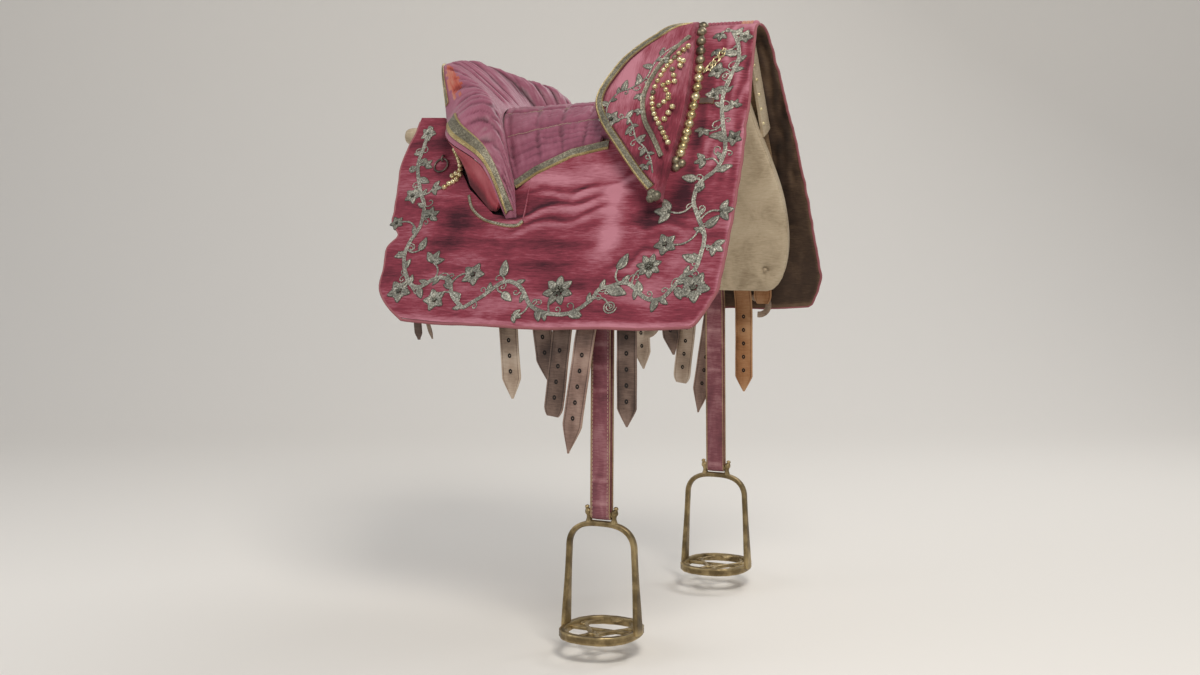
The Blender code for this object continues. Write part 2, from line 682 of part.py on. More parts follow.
def make_cantle_yoke():
    """The rear yoke of the tree, low in the middle so that the cantle board stands on it."""
    outer = []
    inner = []
    high = -(SKIN + GAP)
    foot_drop = BAR_TOP_DROP - GAP
    for t in steps(12):
        w = 2 * t - 1
        side = -1.0 if w < 0 else 1.0
        foot = skin(0.0, foot_drop, high, side)
        knee = skin(0.0, CANTLE_ARCH_TOP_DROP + 0.055, high, side)
        top = Vector((0.0, 0.0, CANTLE_YOKE_TOP_Z))
        if abs(w) > 0.6:
            spot = knee.lerp(foot, (abs(w) - 0.6) / 0.4)
        else:
            share = abs(w) / 0.6
            spot = top.lerp(knee, share)
            spot.z = knee.z + (top.z - knee.z) * (1 - share ** 2)
        inside = spot - Vector((0.0, side * CANTLE_YOKE_THICK * abs(w) * 0.9,
                                CANTLE_YOKE_THICK * (1 - 0.55 * abs(w))))
        outer.append([Vector((CANTLE_YOKE_X + CANTLE_YOKE_DEPTH / 2, spot.y, spot.z)),
                      Vector((CANTLE_YOKE_X - CANTLE_YOKE_DEPTH / 2, spot.y, spot.z))])
        inner.append([Vector((CANTLE_YOKE_X + CANTLE_YOKE_DEPTH / 2, inside.y, inside.z)),
                      Vector((CANTLE_YOKE_X - CANTLE_YOKE_DEPTH / 2, inside.y, inside.z))])
    place("cantle_yoke", grid_solid(outer, inner), WOOD)


def mirrored(points, q):
    """A curve given for one half, read for q from -1 right to 1 left."""
    spot = along(points, abs(q))
    return Vector((spot[0], math.copysign(spot[1], q), spot[2]))


def skewed(spot, q):
    """The old roll sags a little towards the right side."""
    return spot + Vector((0.0, 0.0, CANTLE_SKEW * spot.y * (1 - q ** 4)))


def cantle_base(q):
    """Where the roll meets the seat, and below the seat's rim, where its tips lie on the skin."""
    if abs(q) <= CANTLE_TIP_START:
        return seat_rim(q / CANTLE_TIP_START)
    k = (abs(q) - CANTLE_TIP_START) / (1 - CANTLE_TIP_START)
    return skin(RIM_TIP_X + k * CANTLE_TIP_FORWARD, RIM_TIP_DROP + k * CANTLE_TIP_FALL, 0.0015, math.copysign(1.0, q))


def cantle_arc(q, w):
    """The roll's plain surface, from its outer rim at w 0 over the crest to the seat at w 1."""
    rim = skewed(mirrored(CANTLE_RIM, q), q)
    crest = skewed(mirrored(CANTLE_CREST, q), q)
    base = cantle_base(q)
    control = 2 * crest - (rim + base) / 2
    return rim * (1 - w) ** 2 + control * 2 * w * (1 - w) + base * w * w


def cantle_face(q, w, lift=0.0):
    """The roll's surface with its sewn ribs, raised by lift along its own normal."""
    step = 0.01
    along_q = cantle_arc(min(q + step, 1.0), w) - cantle_arc(max(q - step, -1.0), w)
    along_w = cantle_arc(q, w + step) - cantle_arc(q, w - step)
    normal = along_w.cross(along_q).normalized()
    bow = cantle_arc(q, 0.5) - (cantle_arc(q, 0.0) + cantle_arc(q, 1.0)) / 2
    if normal.dot(bow) < 0:
        normal = -normal
    rib = abs(math.sin(math.pi * CANTLE_RIBS / 2 * (q + 1))) ** 0.6 - 1.0
    depth = CANTLE_RIB_DEPTH * rib * ease((w - 0.2) / 0.2) * ease((1 - w) / 0.1) * ease((1 - abs(q)) / 0.1)
    return cantle_arc(q, w) + normal * (depth + lift)


def cantle_under(q, w):
    """The roll's hidden under face, a little below the line from rim to seat."""
    rim = skewed(mirrored(CANTLE_RIM, q), q)
    crest = skewed(mirrored(CANTLE_CREST, q), q)
    base = cantle_base(q)
    down = ((rim + base) / 2 - crest).normalized() * CANTLE_EDGE
    return rim.lerp(base, w) + down * (1 - 0.75 * w)


def cantle_foot(q):
    """Where the cantle board stands: on the rear yoke, then down the slit in the housing."""
    side = math.copysign(1.0, q)
    if abs(q) < CANTLE_FOOT_BREAK:
        return mirrored(CANTLE_FOOT_TOP, q / CANTLE_FOOT_BREAK)
    share = (abs(q) - CANTLE_FOOT_BREAK) / (1 - CANTLE_FOOT_BREAK)
    x = float(along([(v, 0.0) for v in CANTLE_FOOT_X], share)[0])
    start = mirrored(CANTLE_FOOT_TOP, side)
    foot = skin(x, slit_line(x) - CANTLE_FOOT_PLAY, CANTLE_FOOT_LIFT, side)
    return start.lerp(foot, ease(share * 9))


def make_cantle():
    """The cantle: a board that stands on the rear yoke, the ribbed satin roll and its braid."""
    qs = [2 * t - 1 for t in steps(CANTLE_RIBS * CANTLE_RIB_STEPS)]
    ws = (0.0, 0.2, 0.4, 0.6, 0.8, 1.0)
    outer = [[cantle_face(q, w) for w in ws] for q in qs]
    inner = [[cantle_under(q, w) for w in ws] for q in qs]
    place("cantle_roll", grid_solid(outer, inner), SATIN, sharp=60)

    qs = [(2 * t - 1) * CANTLE_BOARD_REACH for t in steps(28)]
    outer = []
    inner = []
    for q in qs:
        side = math.copysign(1.0, q)
        foot = cantle_foot(q)
        lean = min(abs(q) * 4, 1.0) * 0.7
        foot_in = foot + Vector((CANTLE_BOARD * 0.7, -side * CANTLE_BOARD * lean, CANTLE_BOARD * lean))
        share = CANTLE_BOARD / (cantle_under(q, 1.0) - cantle_under(q, 0.0)).length
        seat = Vector((0.0, 0.0, -CANTLE_BOARD_PLAY))
        top_out = cantle_under(q, 0.0) + seat
        top_in = cantle_under(q, share) + seat
        outer.append([top_out.lerp(foot, k) for k in (0.0, 0.35, 0.7, 1.0)])
        inner.append([top_in.lerp(foot_in, k) for k in (0.0, 0.35, 0.7, 1.0)])
    place("cantle_board", grid_solid(outer, inner), VELVET)

    qs = [2 * t - 1 for t in steps(CANTLE_RIBS * CANTLE_RIB_STEPS)][1:-1]
    ws = (0.01, 0.05, 0.10, 0.15)
    outer = [[cantle_face(q, w, BRAID_PLAY + BRAID_THICK) for w in ws] for q in qs]
    inner = [[cantle_face(q, w, BRAID_PLAY) for w in ws] for q in qs]
    place("cantle_braid", grid_solid(outer, inner), GALLOON)


def wing_outline(a, b):
    """A place in the wing's outline: a runs from its lower tip to the ridge, b from rear to front."""
    rear = along(WING_REAR, a)
    front = along(WING_FRONT, a)
    return rear[0] + b * (front[0] - rear[0]), rear[1] + b * (front[1] - rear[1])


def wing_rear_x(drop):
    """Where the wing's rear edge lies at a distance down from the ridge."""
    nearest = min(steps(120), key=lambda a: abs(wing_outline(a, 0.0)[1] - drop))
    return wing_outline(nearest, 0.0)[0]


def wing_lift(drop, inset):
    """How proud of the skin the wing's face stands, thin at the ridge and crowned between its rims."""
    return WING_RIDGE + (WING_THICK - WING_RIDGE) * ease(drop / WING_RISE) + WING_CROWN * ease(inset * 5)


def wing_tape(name, path, width, side):
    """A braid laid on the wing's face, inward from a path."""
    outer = []
    inner = []
    for i, (x, drop) in enumerate(path):
        before = path[max(i - 1, 0)]
        after = path[min(i + 1, len(path) - 1)]
        heading = Vector((after[0] - before[0], after[1] - before[1])).normalized()
        across = Vector((-heading.y, heading.x)) * width
        row_out = []
        row_in = []
        for k in (0.0, 0.5, 1.0):
            px = x + across.x * k
            pd = max(drop + across.y * k, BRAID_TOP_DROP)
            proud = wing_lift(pd, 1.0) + 2 * GAP
            row_in.append(skin(px, pd, proud, side))
            row_out.append(skin(px, pd, proud + BRAID_THICK, side))
        outer.append(row_out)
        inner.append(row_in)
    place(name, grid_solid(outer, inner), GALLOON)


def make_wings():
    """The pommel wings, the padded block between them, their braids and the nail rows."""
    aas = [0.8 * t for t in steps(12)] + [0.8 + 0.2 * t for t in steps(7)[1:]]
    bs = (0.0, 0.10, 0.30, 0.55, 0.80, 1.0)
    for place_name, side in SIDES.items():
        outer = []
        inner = []
        for a in aas:
            row_out = []
            row_in = []
            for b in bs:
                x, drop = wing_outline(a, b)
                row_out.append(skin(x, drop, wing_lift(drop, min(b, 1 - b)), side))
                row_in.append(skin(x, drop, 2 * GAP, side))
            outer.append(row_out)
            inner.append(row_in)
        place("pommel_wing_" + place_name, grid_solid(outer, inner), VELVET)

        rim = [wing_outline(0.03 + 0.94 * t, RIM_BRAID_B) for t in steps(22)]
        wing_tape("wing_braid_" + place_name, rim, BRAID_WIDTH * 0.8, side)
        arc = [tuple(along(INNER_BRAID, t)) for t in steps(22)]
        wing_tape("wing_inner_braid_" + place_name, arc, BRAID_WIDTH * 0.5, side)

    outer = []
    inner = []
    for t in steps(18):
        s = (2 * t - 1) * PAD_REACH
        side = math.copysign(1.0, s)
        row_out = []
        row_in = []
        edge = min(PAD_RIDGE_X, wing_rear_x(abs(s)) + PAD_INSET)
        for x in (ARCH_REAR_X - GAP, PAD_RIDGE_X, 0.0, -0.022, WING_PAD_REAR_X + 0.008, WING_PAD_REAR_X):
            spot = skin(x, abs(s), -GAP, side)
            spot.z = max(spot.z - PAD_RAMP * max(edge - x, 0.0), min(spot.z, PAD_SEAT_Z))
            row_out.append(spot)
            row_in.append(Vector((x, spot.y * 0.94, min(PAD_FLOOR_Z, spot.z - 0.006))))
        outer.append(row_out)
        inner.append(row_in)
    place("pommel_pad", grid_solid(outer, inner), SATIN, sharp=60)


def nailed_tape(name, path, width, nails, radius, height, lift, side, finish=BRASS):
    """A narrow tape on the skin with domed nail heads driven through it, one closed body."""
    base = place(name, sweep(band(path, width, lift, lift + TAPE_THICK, side)), finish)
    heads = []
    for x, drop in nails:
        centre = skin(x, drop, lift + TAPE_THICK, side)
        normal = skin(x, drop, lift + TAPE_THICK + 0.01, side) - centre
        heads.append((dome(centre, normal, radius, height), False))
    joined(name, base, heads)


def make_nails():
    """Large domed nails down each front line and small ones behind the cantle and on the wings."""
    for place_name, side in SIDES.items():
        path = [(float(along(NAIL_LINE, t)[0]), float(along(NAIL_LINE, t)[1])) for t in steps(30)]
        nails = []
        for i in range(BIG_NAIL_COUNT):
            spot = along(NAIL_LINE, (i + 0.5) / BIG_NAIL_COUNT)
            nails.append((float(spot[0]), float(spot[1])))
        nailed_tape("front_nails_" + place_name, path, BIG_NAIL_RADIUS * 1.1, nails,
                    BIG_NAIL_RADIUS, BIG_NAIL_RADIUS * 0.75, GAP, side)

        count = 9
        path = [(float(along(REAR_NAILS, t)[0]), float(along(REAR_NAILS, t)[1])) for t in steps(count)]
        nailed_tape("rear_nails_" + place_name, path, SMALL_NAIL_RADIUS * 1.2, path[1:-1],
                    SMALL_NAIL_RADIUS, SMALL_NAIL_HEIGHT, GAP, side)

        face = WING_THICK + WING_CROWN + GAP
        count = 15
        path = [tuple(along(FIELD_NAILS, t)) for t in steps(count)]
        nailed_tape("wing_nails_" + place_name, path, SMALL_NAIL_RADIUS * 1.2, path[1:-1],
                    SMALL_NAIL_RADIUS, SMALL_NAIL_HEIGHT, face, side)


def make_seat_braids():
    """The woven braid that edges the velvet along the seat."""
    for place_name, side in SIDES.items():
        path = []
        for t in steps(14):
            x = SEAT_BRAID_FRONT_X + t * (SEAT_BRAID_REAR_X - SEAT_BRAID_FRONT_X)
            path.append((x, seat_line(x) + BRAID_WIDTH * 0.55))
        place("seat_braid_" + place_name,
              sweep(band(path, BRAID_WIDTH, GAP, GAP + BRAID_THICK, side)), GALLOON)


def make_rings():
    """A staple in each rear skirt and the steel ring that swings in it."""
    for place_name, side in SIDES.items():
        out = outward(side)
        down = downward(side)
        foot = skin(STAPLE_X, STAPLE_DROP, 0.0, side)
        path = []
        for t in steps(12):
            turn = math.pi * t
            path.append(foot + out * (STAPLE_RADIUS * math.sin(turn) + GAP + STAPLE_FOOT)
                        - down * STAPLE_RADIUS * math.cos(turn))
        path.insert(0, path[0] - out * STAPLE_FOOT)
        path.append(path[-1] - out * STAPLE_FOOT)
        place("rear_staple_" + place_name, sweep(tube(path, STAPLE_WIRE, 8, up=(1, 0, 0))), IRON)
        reach = STAPLE_RADIUS - STAPLE_WIRE - RING_WIRE - GAP
        pivot = foot + out * (STAPLE_FOOT + GAP + reach * 0.7) + down * reach * 0.7
        centre = pivot + down * RING_RADIUS
        path = []
        for k in range(24):
            turn = 2 * math.pi * k / 24
            path.append(centre + Vector((RING_RADIUS * math.sin(turn), 0, 0))
                        - down * RING_RADIUS * math.cos(turn))
        place("rear_ring_" + place_name, sweep(tube(path, RING_WIRE, 8, True, up=out), True), IRON,
              origin=pivot)


def make_clasp():
    """The gilt openwork hook on the right front and the leather tab below it."""
    side = SIDES["right"]
    path = [(CLASP_X + CLASP_LENGTH * 0.55 * t, CLASP_DROP - CLASP_LENGTH * 0.84 * t) for t in steps(6)]
    base = place("pommel_clasp", sweep(band(path, CLASP_WIDTH, GAP, GAP + CLASP_THICK, side)), BRASS)
    holes = []
    for k in (0.3, 0.55, 0.8):
        x = CLASP_X + CLASP_LENGTH * 0.55 * k
        drop = CLASP_DROP - CLASP_LENGTH * 0.84 * k
        rod = [skin(x, drop, lift, side) for lift in (-0.002, CLASP_THICK + 0.004)]
        holes.append((tube(rod, CLASP_WIDTH * 0.24, 8), False))
    joined("pommel_clasp", base, holes, "DIFFERENCE")
    tab = [(TAB_X + TAB_LENGTH * (t - 0.5), TAB_DROP) for t in steps(4)]
    place("front_tab", sweep(band(tab, TAB_LENGTH * 0.42, GAP, GAP + 0.0022, side)), BROWN_LEATHER)


def strap_grid(path, width, thick, point):
    """A flat strap along a list of (centre, across, normal), its last stretch drawn to a point."""
    outer = []
    inner = []
    total = len(path)
    for i, (centre, across, normal) in enumerate(path):
        left = total - 1 - i
        half = width / 2 * (1.0 if left > 1 else point[left])
        face = centre + normal * thick / 2
        back = centre - normal * thick / 2
        outer.append([face - across * half, face + across * half])
        inner.append([back - across * half, back + across * half])
    return grid_solid(outer, inner)


def billet_path(top_x, slant, length, depth, side):
    """Stations down a billet: flat on its layer under the flap, then hanging plumb below it."""
    stations = []
    across = Vector((math.cos(slant), 0.0, 0.0)) + downward(side) * math.sin(slant) * -1
    plumb_start = BILLET_PLUMB_DROP - BILLET_TOP_DROP
    for share in (0.0, 0.5, 0.8, 1.0):
        run = plumb_start * share
        spot = skin(top_x + run * math.tan(slant), BILLET_TOP_DROP + run, depth, side)
        stations.append((spot, across.normalized(), outward(side)))
    bends = 5
    spot = stations[-1][0].copy()
    hang = length - plumb_start
    for k in range(1, bends + 1):
        lean = FLANK_LEAN * (1 - k / bends)
        step = hang * 0.07
        heading = Vector((0, side * math.sin(lean), -math.cos(lean)))
        spot = spot + heading * step + Vector((math.tan(slant) * step, 0, 0))
        normal = Vector((0, side * math.cos(lean), math.sin(lean)))
        tilt = (Vector((1, 0, 0)) - heading * math.sin(slant)).normalized()
        stations.append((spot, tilt, normal))
    rest = hang * (1 - 0.07 * bends)
    for share in (0.45, 0.62, 0.78, 0.90, 0.955, 1.0):
        fall = rest * share
        lower = spot + Vector((math.tan(slant) * fall, 0, -fall))
        tilt = Vector((math.cos(slant), 0, math.sin(slant)))
        stations.append((lower, tilt, Vector((0, side, 0))))
    return stations


def make_billets():
    """The girth billets nailed to the side bars, staggered in three layers, with punched holes."""
    for place_name, side in SIDES.items():
        for name, top_x, slant, length, layer, point, finish in BILLETS:
            depth = -(SKIN + STRAP_PLAY + layer * LAYER_STEP) - BILLET_THICK / 2
            path = billet_path(top_x, slant, length, depth, side)
            nail = skin(top_x, BILLET_TOP_DROP, depth, side)
            base = place(name + place_name, strap_grid(path, BILLET_WIDTH, BILLET_THICK, point),
                         finish, origin=nail)
            head = []
            low = BAR_LIFT + GAP
            for dx in (-1, 1):
                column = []
                for drop in (BILLET_TOP_DROP - BILLET_HEAD, BILLET_TOP_DROP - GAP + 0.001):
                    column.append((top_x + dx * BILLET_WIDTH / 2, drop))
                head.append(column)
            ring_low = [skin(x, d, low, side) for x, d in (head[0][0], head[1][0], head[1][1], head[0][1])]
            ring_high = [skin(x, d, depth + BILLET_THICK / 2, side)
                         for x, d in (head[0][0], head[1][0], head[1][1], head[0][1])]
            joined(name + place_name + "_head", base, [([ring_low, ring_high], False)])
            holes = []
            fall = path[-1][0] - path[9][0]
            for k in range(BILLET_HOLES):
                centre = path[9][0] + fall * (0.18 + 0.60 * k / (BILLET_HOLES - 1))
                rod = [centre + Vector((0, side * dy, 0)) for dy in (-0.006, 0.006)]
                holes.append((tube(rod, BILLET_HOLE, 6), False))
            if length > BILLET_PLAIN_LENGTH:
                joined(name + place_name + "_holes", base, holes, "DIFFERENCE")


def make_stirrups():
    """Stirrup bars, the doubled leathers that hang from them and the brass stirrups."""
    for place_name, side in SIDES.items():
        down = downward(side)
        rod_centre = skin(0.0, ROD_DROP, ROD_LIFT, side)
        half = STIRRUP_BAR_LENGTH / 2
        arms = []
        for x in (-half, half):
            arm = [skin(x, BAR_BOTTOM_DROP + GAP, ROD_LIFT, side), skin(x, ROD_DROP, ROD_LIFT, side)]
            arms.append((tube(arm, BAR_ROD_RADIUS * 0.9, 8, up=(1, 0, 0)), False))
        rod = [skin(x, ROD_DROP, ROD_LIFT, side) for x in (-half - 0.003, half + 0.003)]
        base = place("stirrup_bar_" + place_name, sweep(tube(rod, BAR_ROD_RADIUS, 12)), IRON)
        joined("stirrup_bar_" + place_name, base, arms)

        bend = skin(0.0, LEATHER_BEND_DROP, ROD_LIFT, side)
        eye = Vector((0.0, bend.y + side * LEATHER_BEND_EASE, LEATHER_BOTTOM_Z))
        line = [rod_centre - down * LEATHER_TOP_PLAY]
        line += [rod_centre.lerp(bend, k) for k in (0.0, 0.45, 0.85)]
        corner = [rod_centre.lerp(bend, 0.85), bend, bend.lerp(eye, 0.08)]
        for t in (0.35, 0.7, 1.0):
            line.append(corner[0] * (1 - t) ** 2 + corner[1] * 2 * t * (1 - t) + corner[2] * t * t)
        line += [bend.lerp(eye, k) for k in (0.3, 0.55, 0.8, 1.0)]
        radius_top = BAR_ROD_RADIUS + GAP
        radius_eye = EYE_ROD_RADIUS + GAP
        lengths = [0.0]
        for i in range(1, len(line)):
            lengths.append(lengths[-1] + (line[i] - line[i - 1]).length)

        def frame(i):
            before = line[max(i - 1, 0)]
            after = line[min(i + 1, len(line) - 1)]
            heading = (after - before).normalized()
            return heading, Vector((0, -heading.z * side, heading.y * side))

        stations = []
        for i in range(len(line)):
            heading, normal = frame(i)
            spread = radius_top + (radius_eye - radius_top) * lengths[i] / lengths[-1]
            stations.append((line[i], normal, spread))
        loop = [(c + n * s, n) for c, n, s in stations]
        heading, normal = frame(len(line) - 1)
        for t in (0.25, 0.5, 0.75):
            turn = math.pi * t
            ray = normal * math.cos(turn) + heading * math.sin(turn)
            loop.append((line[-1] + ray * radius_eye, ray))
        loop += [(c - n * s, -n) for c, n, s in reversed(stations)]
        heading, normal = frame(0)
        for t in (0.25, 0.5, 0.75):
            turn = math.pi * t
            ray = -normal * math.cos(turn) - heading * math.sin(turn)
            loop.append((line[0] + ray * radius_top, ray))
        rings = []
        for centre, ray in loop:
            low = centre
            high = centre + ray * LEATHER_THICK
            dx = Vector((LEATHER_WIDTH / 2, 0, 0))
            rings.append([low - dx, low + dx, high + dx, high - dx])
        place("stirrup_leather_" + place_name, sweep(rings, True), RED_LEATHER, origin=rod_centre)
        make_stirrup(place_name, line[-1])


def make_stirrup(place_name, eye):
    """One brass stirrup: eye rod between two horns, arched branches and a pierced oval tread."""
    half = STIRRUP_WIDTH / 2 - STIRRUP_BRANCH_THICK / 2
    top = eye.z - STIRRUP_ARCH_DROP
    foot = eye.z - STIRRUP_HEIGHT
    path = []
    depths = []
    arch_start = top - STIRRUP_SHOULDER
    narrow = half * STIRRUP_TOP_SHARE
    for t in (0.0, 0.33, 0.66):
        path.append(Vector((-half + (half - narrow) * t, eye.y, foot + (arch_start - foot) * t)))
        depths.append(STIRRUP_BRANCH_FOOT + (STIRRUP_BRANCH - STIRRUP_BRANCH_FOOT) * t)
    for t in steps(12):
        turn = math.pi * t
        x = -narrow * math.copysign(abs(math.cos(turn)) ** 0.72, math.cos(turn))
        path.append(Vector((x, eye.y, arch_start + STIRRUP_SHOULDER * math.sin(turn) ** 0.8)))
        depths.append(STIRRUP_BRANCH)
    for t in (0.66, 0.33, 0.0):
        path.append(Vector((half - (half - narrow) * t, eye.y, foot + (arch_start - foot) * t)))
        depths.append(STIRRUP_BRANCH_FOOT + (STIRRUP_BRANCH - STIRRUP_BRANCH_FOOT) * t)
    rings = []
    for i, centre in enumerate(path):
        before = path[max(i - 1, 0)]
        after = path[min(i + 1, len(path) - 1)]
        heading = (after - before).normalized()
        normal = Vector((-heading.z, 0, heading.x)) * STIRRUP_BRANCH_THICK / 2
        deep = Vector((0, depths[i] / 2, 0))
        flat = deep * 0.55
        rings.append([centre - normal - flat, centre - normal + flat, centre - normal * 0.2 + deep,
                      centre + normal - flat * -1, centre + normal - flat, centre - normal * 0.2 - deep])
    base = place("stirrup_" + place_name, sweep(rings), DARK_BRASS, origin=eye)

    extras = []
    rod = [eye - Vector((EYE_HALF, 0, 0)), eye + Vector((EYE_HALF, 0, 0))]
    extras.append((tube(rod, EYE_ROD_RADIUS, 10), False))
    for dx in (-1, 1):
        horn = [Vector((dx * EYE_HALF, eye.y, top + 0.002)), Vector((dx * EYE_HALF, eye.y, eye.z)),
                Vector((dx * (EYE_HALF + 0.002), eye.y, eye.z + EYE_HORN))]
        extras.append((tube(horn, [EYE_ROD_RADIUS * 1.15, EYE_ROD_RADIUS * 1.2, EYE_ROD_RADIUS * 0.7], 8,
                            up=(1, 0, 0)), False))
    oval = []
    for k in range(32):
        turn = 2 * math.pi * k / 32
        x = (half - TREAD_INSET) * math.copysign(abs(math.cos(turn)) ** 0.8, math.cos(turn))
        y = TREAD_DEPTH / 2 * math.copysign(abs(math.sin(turn)) ** 0.9, math.sin(turn))
        ray = Vector((math.cos(turn), math.sin(turn), 0)) * TREAD_RIM / 2
        centre = Vector((x, eye.y + y, foot))
        high = Vector((0, 0, TREAD_HEIGHT / 2))
        oval.append([centre - ray - high, centre + ray - high, centre + ray + high, centre - ray + high])
    extras.append((oval, True))
    joined("stirrup_" + place_name, base, extras)

    bars = []
    for dx in (-1, 1):
        curl = []
        for t in steps(10):
            turn = 2 * math.pi * (t - 0.5)
            x = dx * (SCROLL_X + SCROLL_SWING * math.sin(turn))
            y = (TREAD_DEPTH - TREAD_RIM) * (t - 0.5)
            curl.append(Vector((x, eye.y + y, foot)))
        bars.append((flat_bar(curl), False))
    joined("stirrup_" + place_name + "_scrolls", base, bars)
    cross = [[Vector((x, eye.y, foot)) for x in (-half, -half / 2, 0.0, half / 2, half)]]
    joined("stirrup_" + place_name + "_cross", base, [(flat_bar(cross[0]), False)])


def flat_bar(path):
    """Rings of a flat bar that lies level along a path."""
    rings = []
    for i, centre in enumerate(path):
        before = path[max(i - 1, 0)]
        after = path[min(i + 1, len(path) - 1)]
        heading = (after - before).normalized()
        across = Vector((-heading.y, heading.x, 0)) * SCROLL_WIDTH / 2
        high = Vector((0, 0, SCROLL_THICK / 2))
        rings.append([centre - across - high, centre + across - high, centre + across + high,
                      centre - across + high])
    return rings


def main():
    """Clear the scene and build every piece."""
    for old in list(bpy.data.objects):
        bpy.data.objects.remove(old)
    make_tree()
    make_cantle_yoke()
    make_panels()
    make_ground_seat()
    make_seat()
    make_cantle()
    make_housing()
    make_wings()
    make_nails()
    make_seat_braids()
    make_rings()
    make_clasp()
    make_billets()
    make_stirrups()


main()
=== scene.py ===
"""The velvet-covered military saddle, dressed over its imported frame.

Places on the saddle's skin are written as x (forward), drop (the way down from the ridge along
the skin) and lift (how proud of the skin), for side -1 (right, -Y) and 1 (left, +Y).
"""
import bmesh
import bpy
import math
import numpy as np
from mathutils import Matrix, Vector, noise


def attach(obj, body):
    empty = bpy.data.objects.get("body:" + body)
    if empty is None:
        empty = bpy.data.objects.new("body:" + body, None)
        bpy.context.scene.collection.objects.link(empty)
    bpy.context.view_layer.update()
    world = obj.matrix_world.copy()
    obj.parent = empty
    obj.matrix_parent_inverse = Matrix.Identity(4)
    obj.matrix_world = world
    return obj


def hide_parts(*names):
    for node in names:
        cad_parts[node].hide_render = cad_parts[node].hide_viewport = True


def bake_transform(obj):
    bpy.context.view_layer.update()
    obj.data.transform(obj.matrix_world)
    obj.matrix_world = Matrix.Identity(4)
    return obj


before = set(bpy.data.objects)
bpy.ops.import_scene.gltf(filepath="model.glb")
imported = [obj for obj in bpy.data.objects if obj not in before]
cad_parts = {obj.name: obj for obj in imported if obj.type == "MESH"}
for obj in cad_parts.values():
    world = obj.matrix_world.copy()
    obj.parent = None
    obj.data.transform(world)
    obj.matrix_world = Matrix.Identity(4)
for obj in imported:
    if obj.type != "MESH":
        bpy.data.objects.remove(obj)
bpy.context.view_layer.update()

SIDES = {"right": -1.0, "left": 1.0}
LEAN = math.radians(28.2)
SIN = math.sin(LEAN)
COS = math.cos(LEAN)
RIDGE = 0.0376
RIDGE_Z = 0.1864
ARC = RIDGE * (math.pi / 2 - LEAN)
SKIN = 0.0030
FRONT_X = 0.150
REAR_X = -0.362
FOLD = 0.352
HEM = 0.497
SEAT_LINE = ((-0.172, 0.277), (-0.138, 0.249), (-0.088, 0.222), (-0.039, 0.210), (0.050, 0.200))
SLIT_LINE = ((-0.380, 0.162), (-0.320, 0.164), (-0.300, 0.186), (-0.245, 0.288), (-0.200, 0.330),
             (-0.152, 0.338), (-0.1505, 0.337))
SLIT_FRONT_X = -0.150
PART_LINE_X = 0.050


def skin(x, drop, lift, side):
    """A place on the saddle's skin."""
    if drop < ARC:
        turn = drop / RIDGE
        y = (RIDGE + lift) * math.sin(turn)
        z = RIDGE_Z + (RIDGE + lift) * math.cos(turn)
    else:
        y = (RIDGE + lift) * COS + (drop - ARC) * SIN
        z = RIDGE_Z + (RIDGE + lift) * SIN - (drop - ARC) * COS
    return Vector((x, side * y, z))


def outward(side):
    """The direction straight out of a flank."""
    return Vector((0.0, side * COS, SIN))


def downward(side):
    """The direction straight down a flank."""
    return Vector((0.0, side * SIN, -COS))


def ease(value):
    """Smooth step between 0 and 1."""
    value = min(max(value, 0.0), 1.0)
    return value * value * (3 - 2 * value)


def along(points, t):
    """A smooth curve through evenly spaced points, for t from 0 to 1."""
    last = len(points) - 1
    spot = min(max(t, 0.0), 1.0) * last
    k = min(int(spot), last - 1)
    f = spot - k
    p1 = np.array(points[k], dtype=float)
    p2 = np.array(points[k + 1], dtype=float)
    p0 = np.array(points[k - 1], dtype=float) if k > 0 else 2 * p1 - p2
    p3 = np.array(points[k + 2], dtype=float) if k + 2 <= last else 2 * p2 - p1
    return 0.5 * (2 * p1 + (p2 - p0) * f + (2 * p0 - 5 * p1 + 4 * p2 - p3) * f ** 2
                  + (3 * p1 - p0 - 3 * p2 + p3) * f ** 3)


def steps(count):
    """Evenly spaced values from 0 to 1, both ends included."""
    return [i / count for i in range(count + 1)]


def ripple(x, y, seed=0.0):
    """Smooth noise from about -1 to 1."""
    return noise.noise(Vector((x, y, seed)))


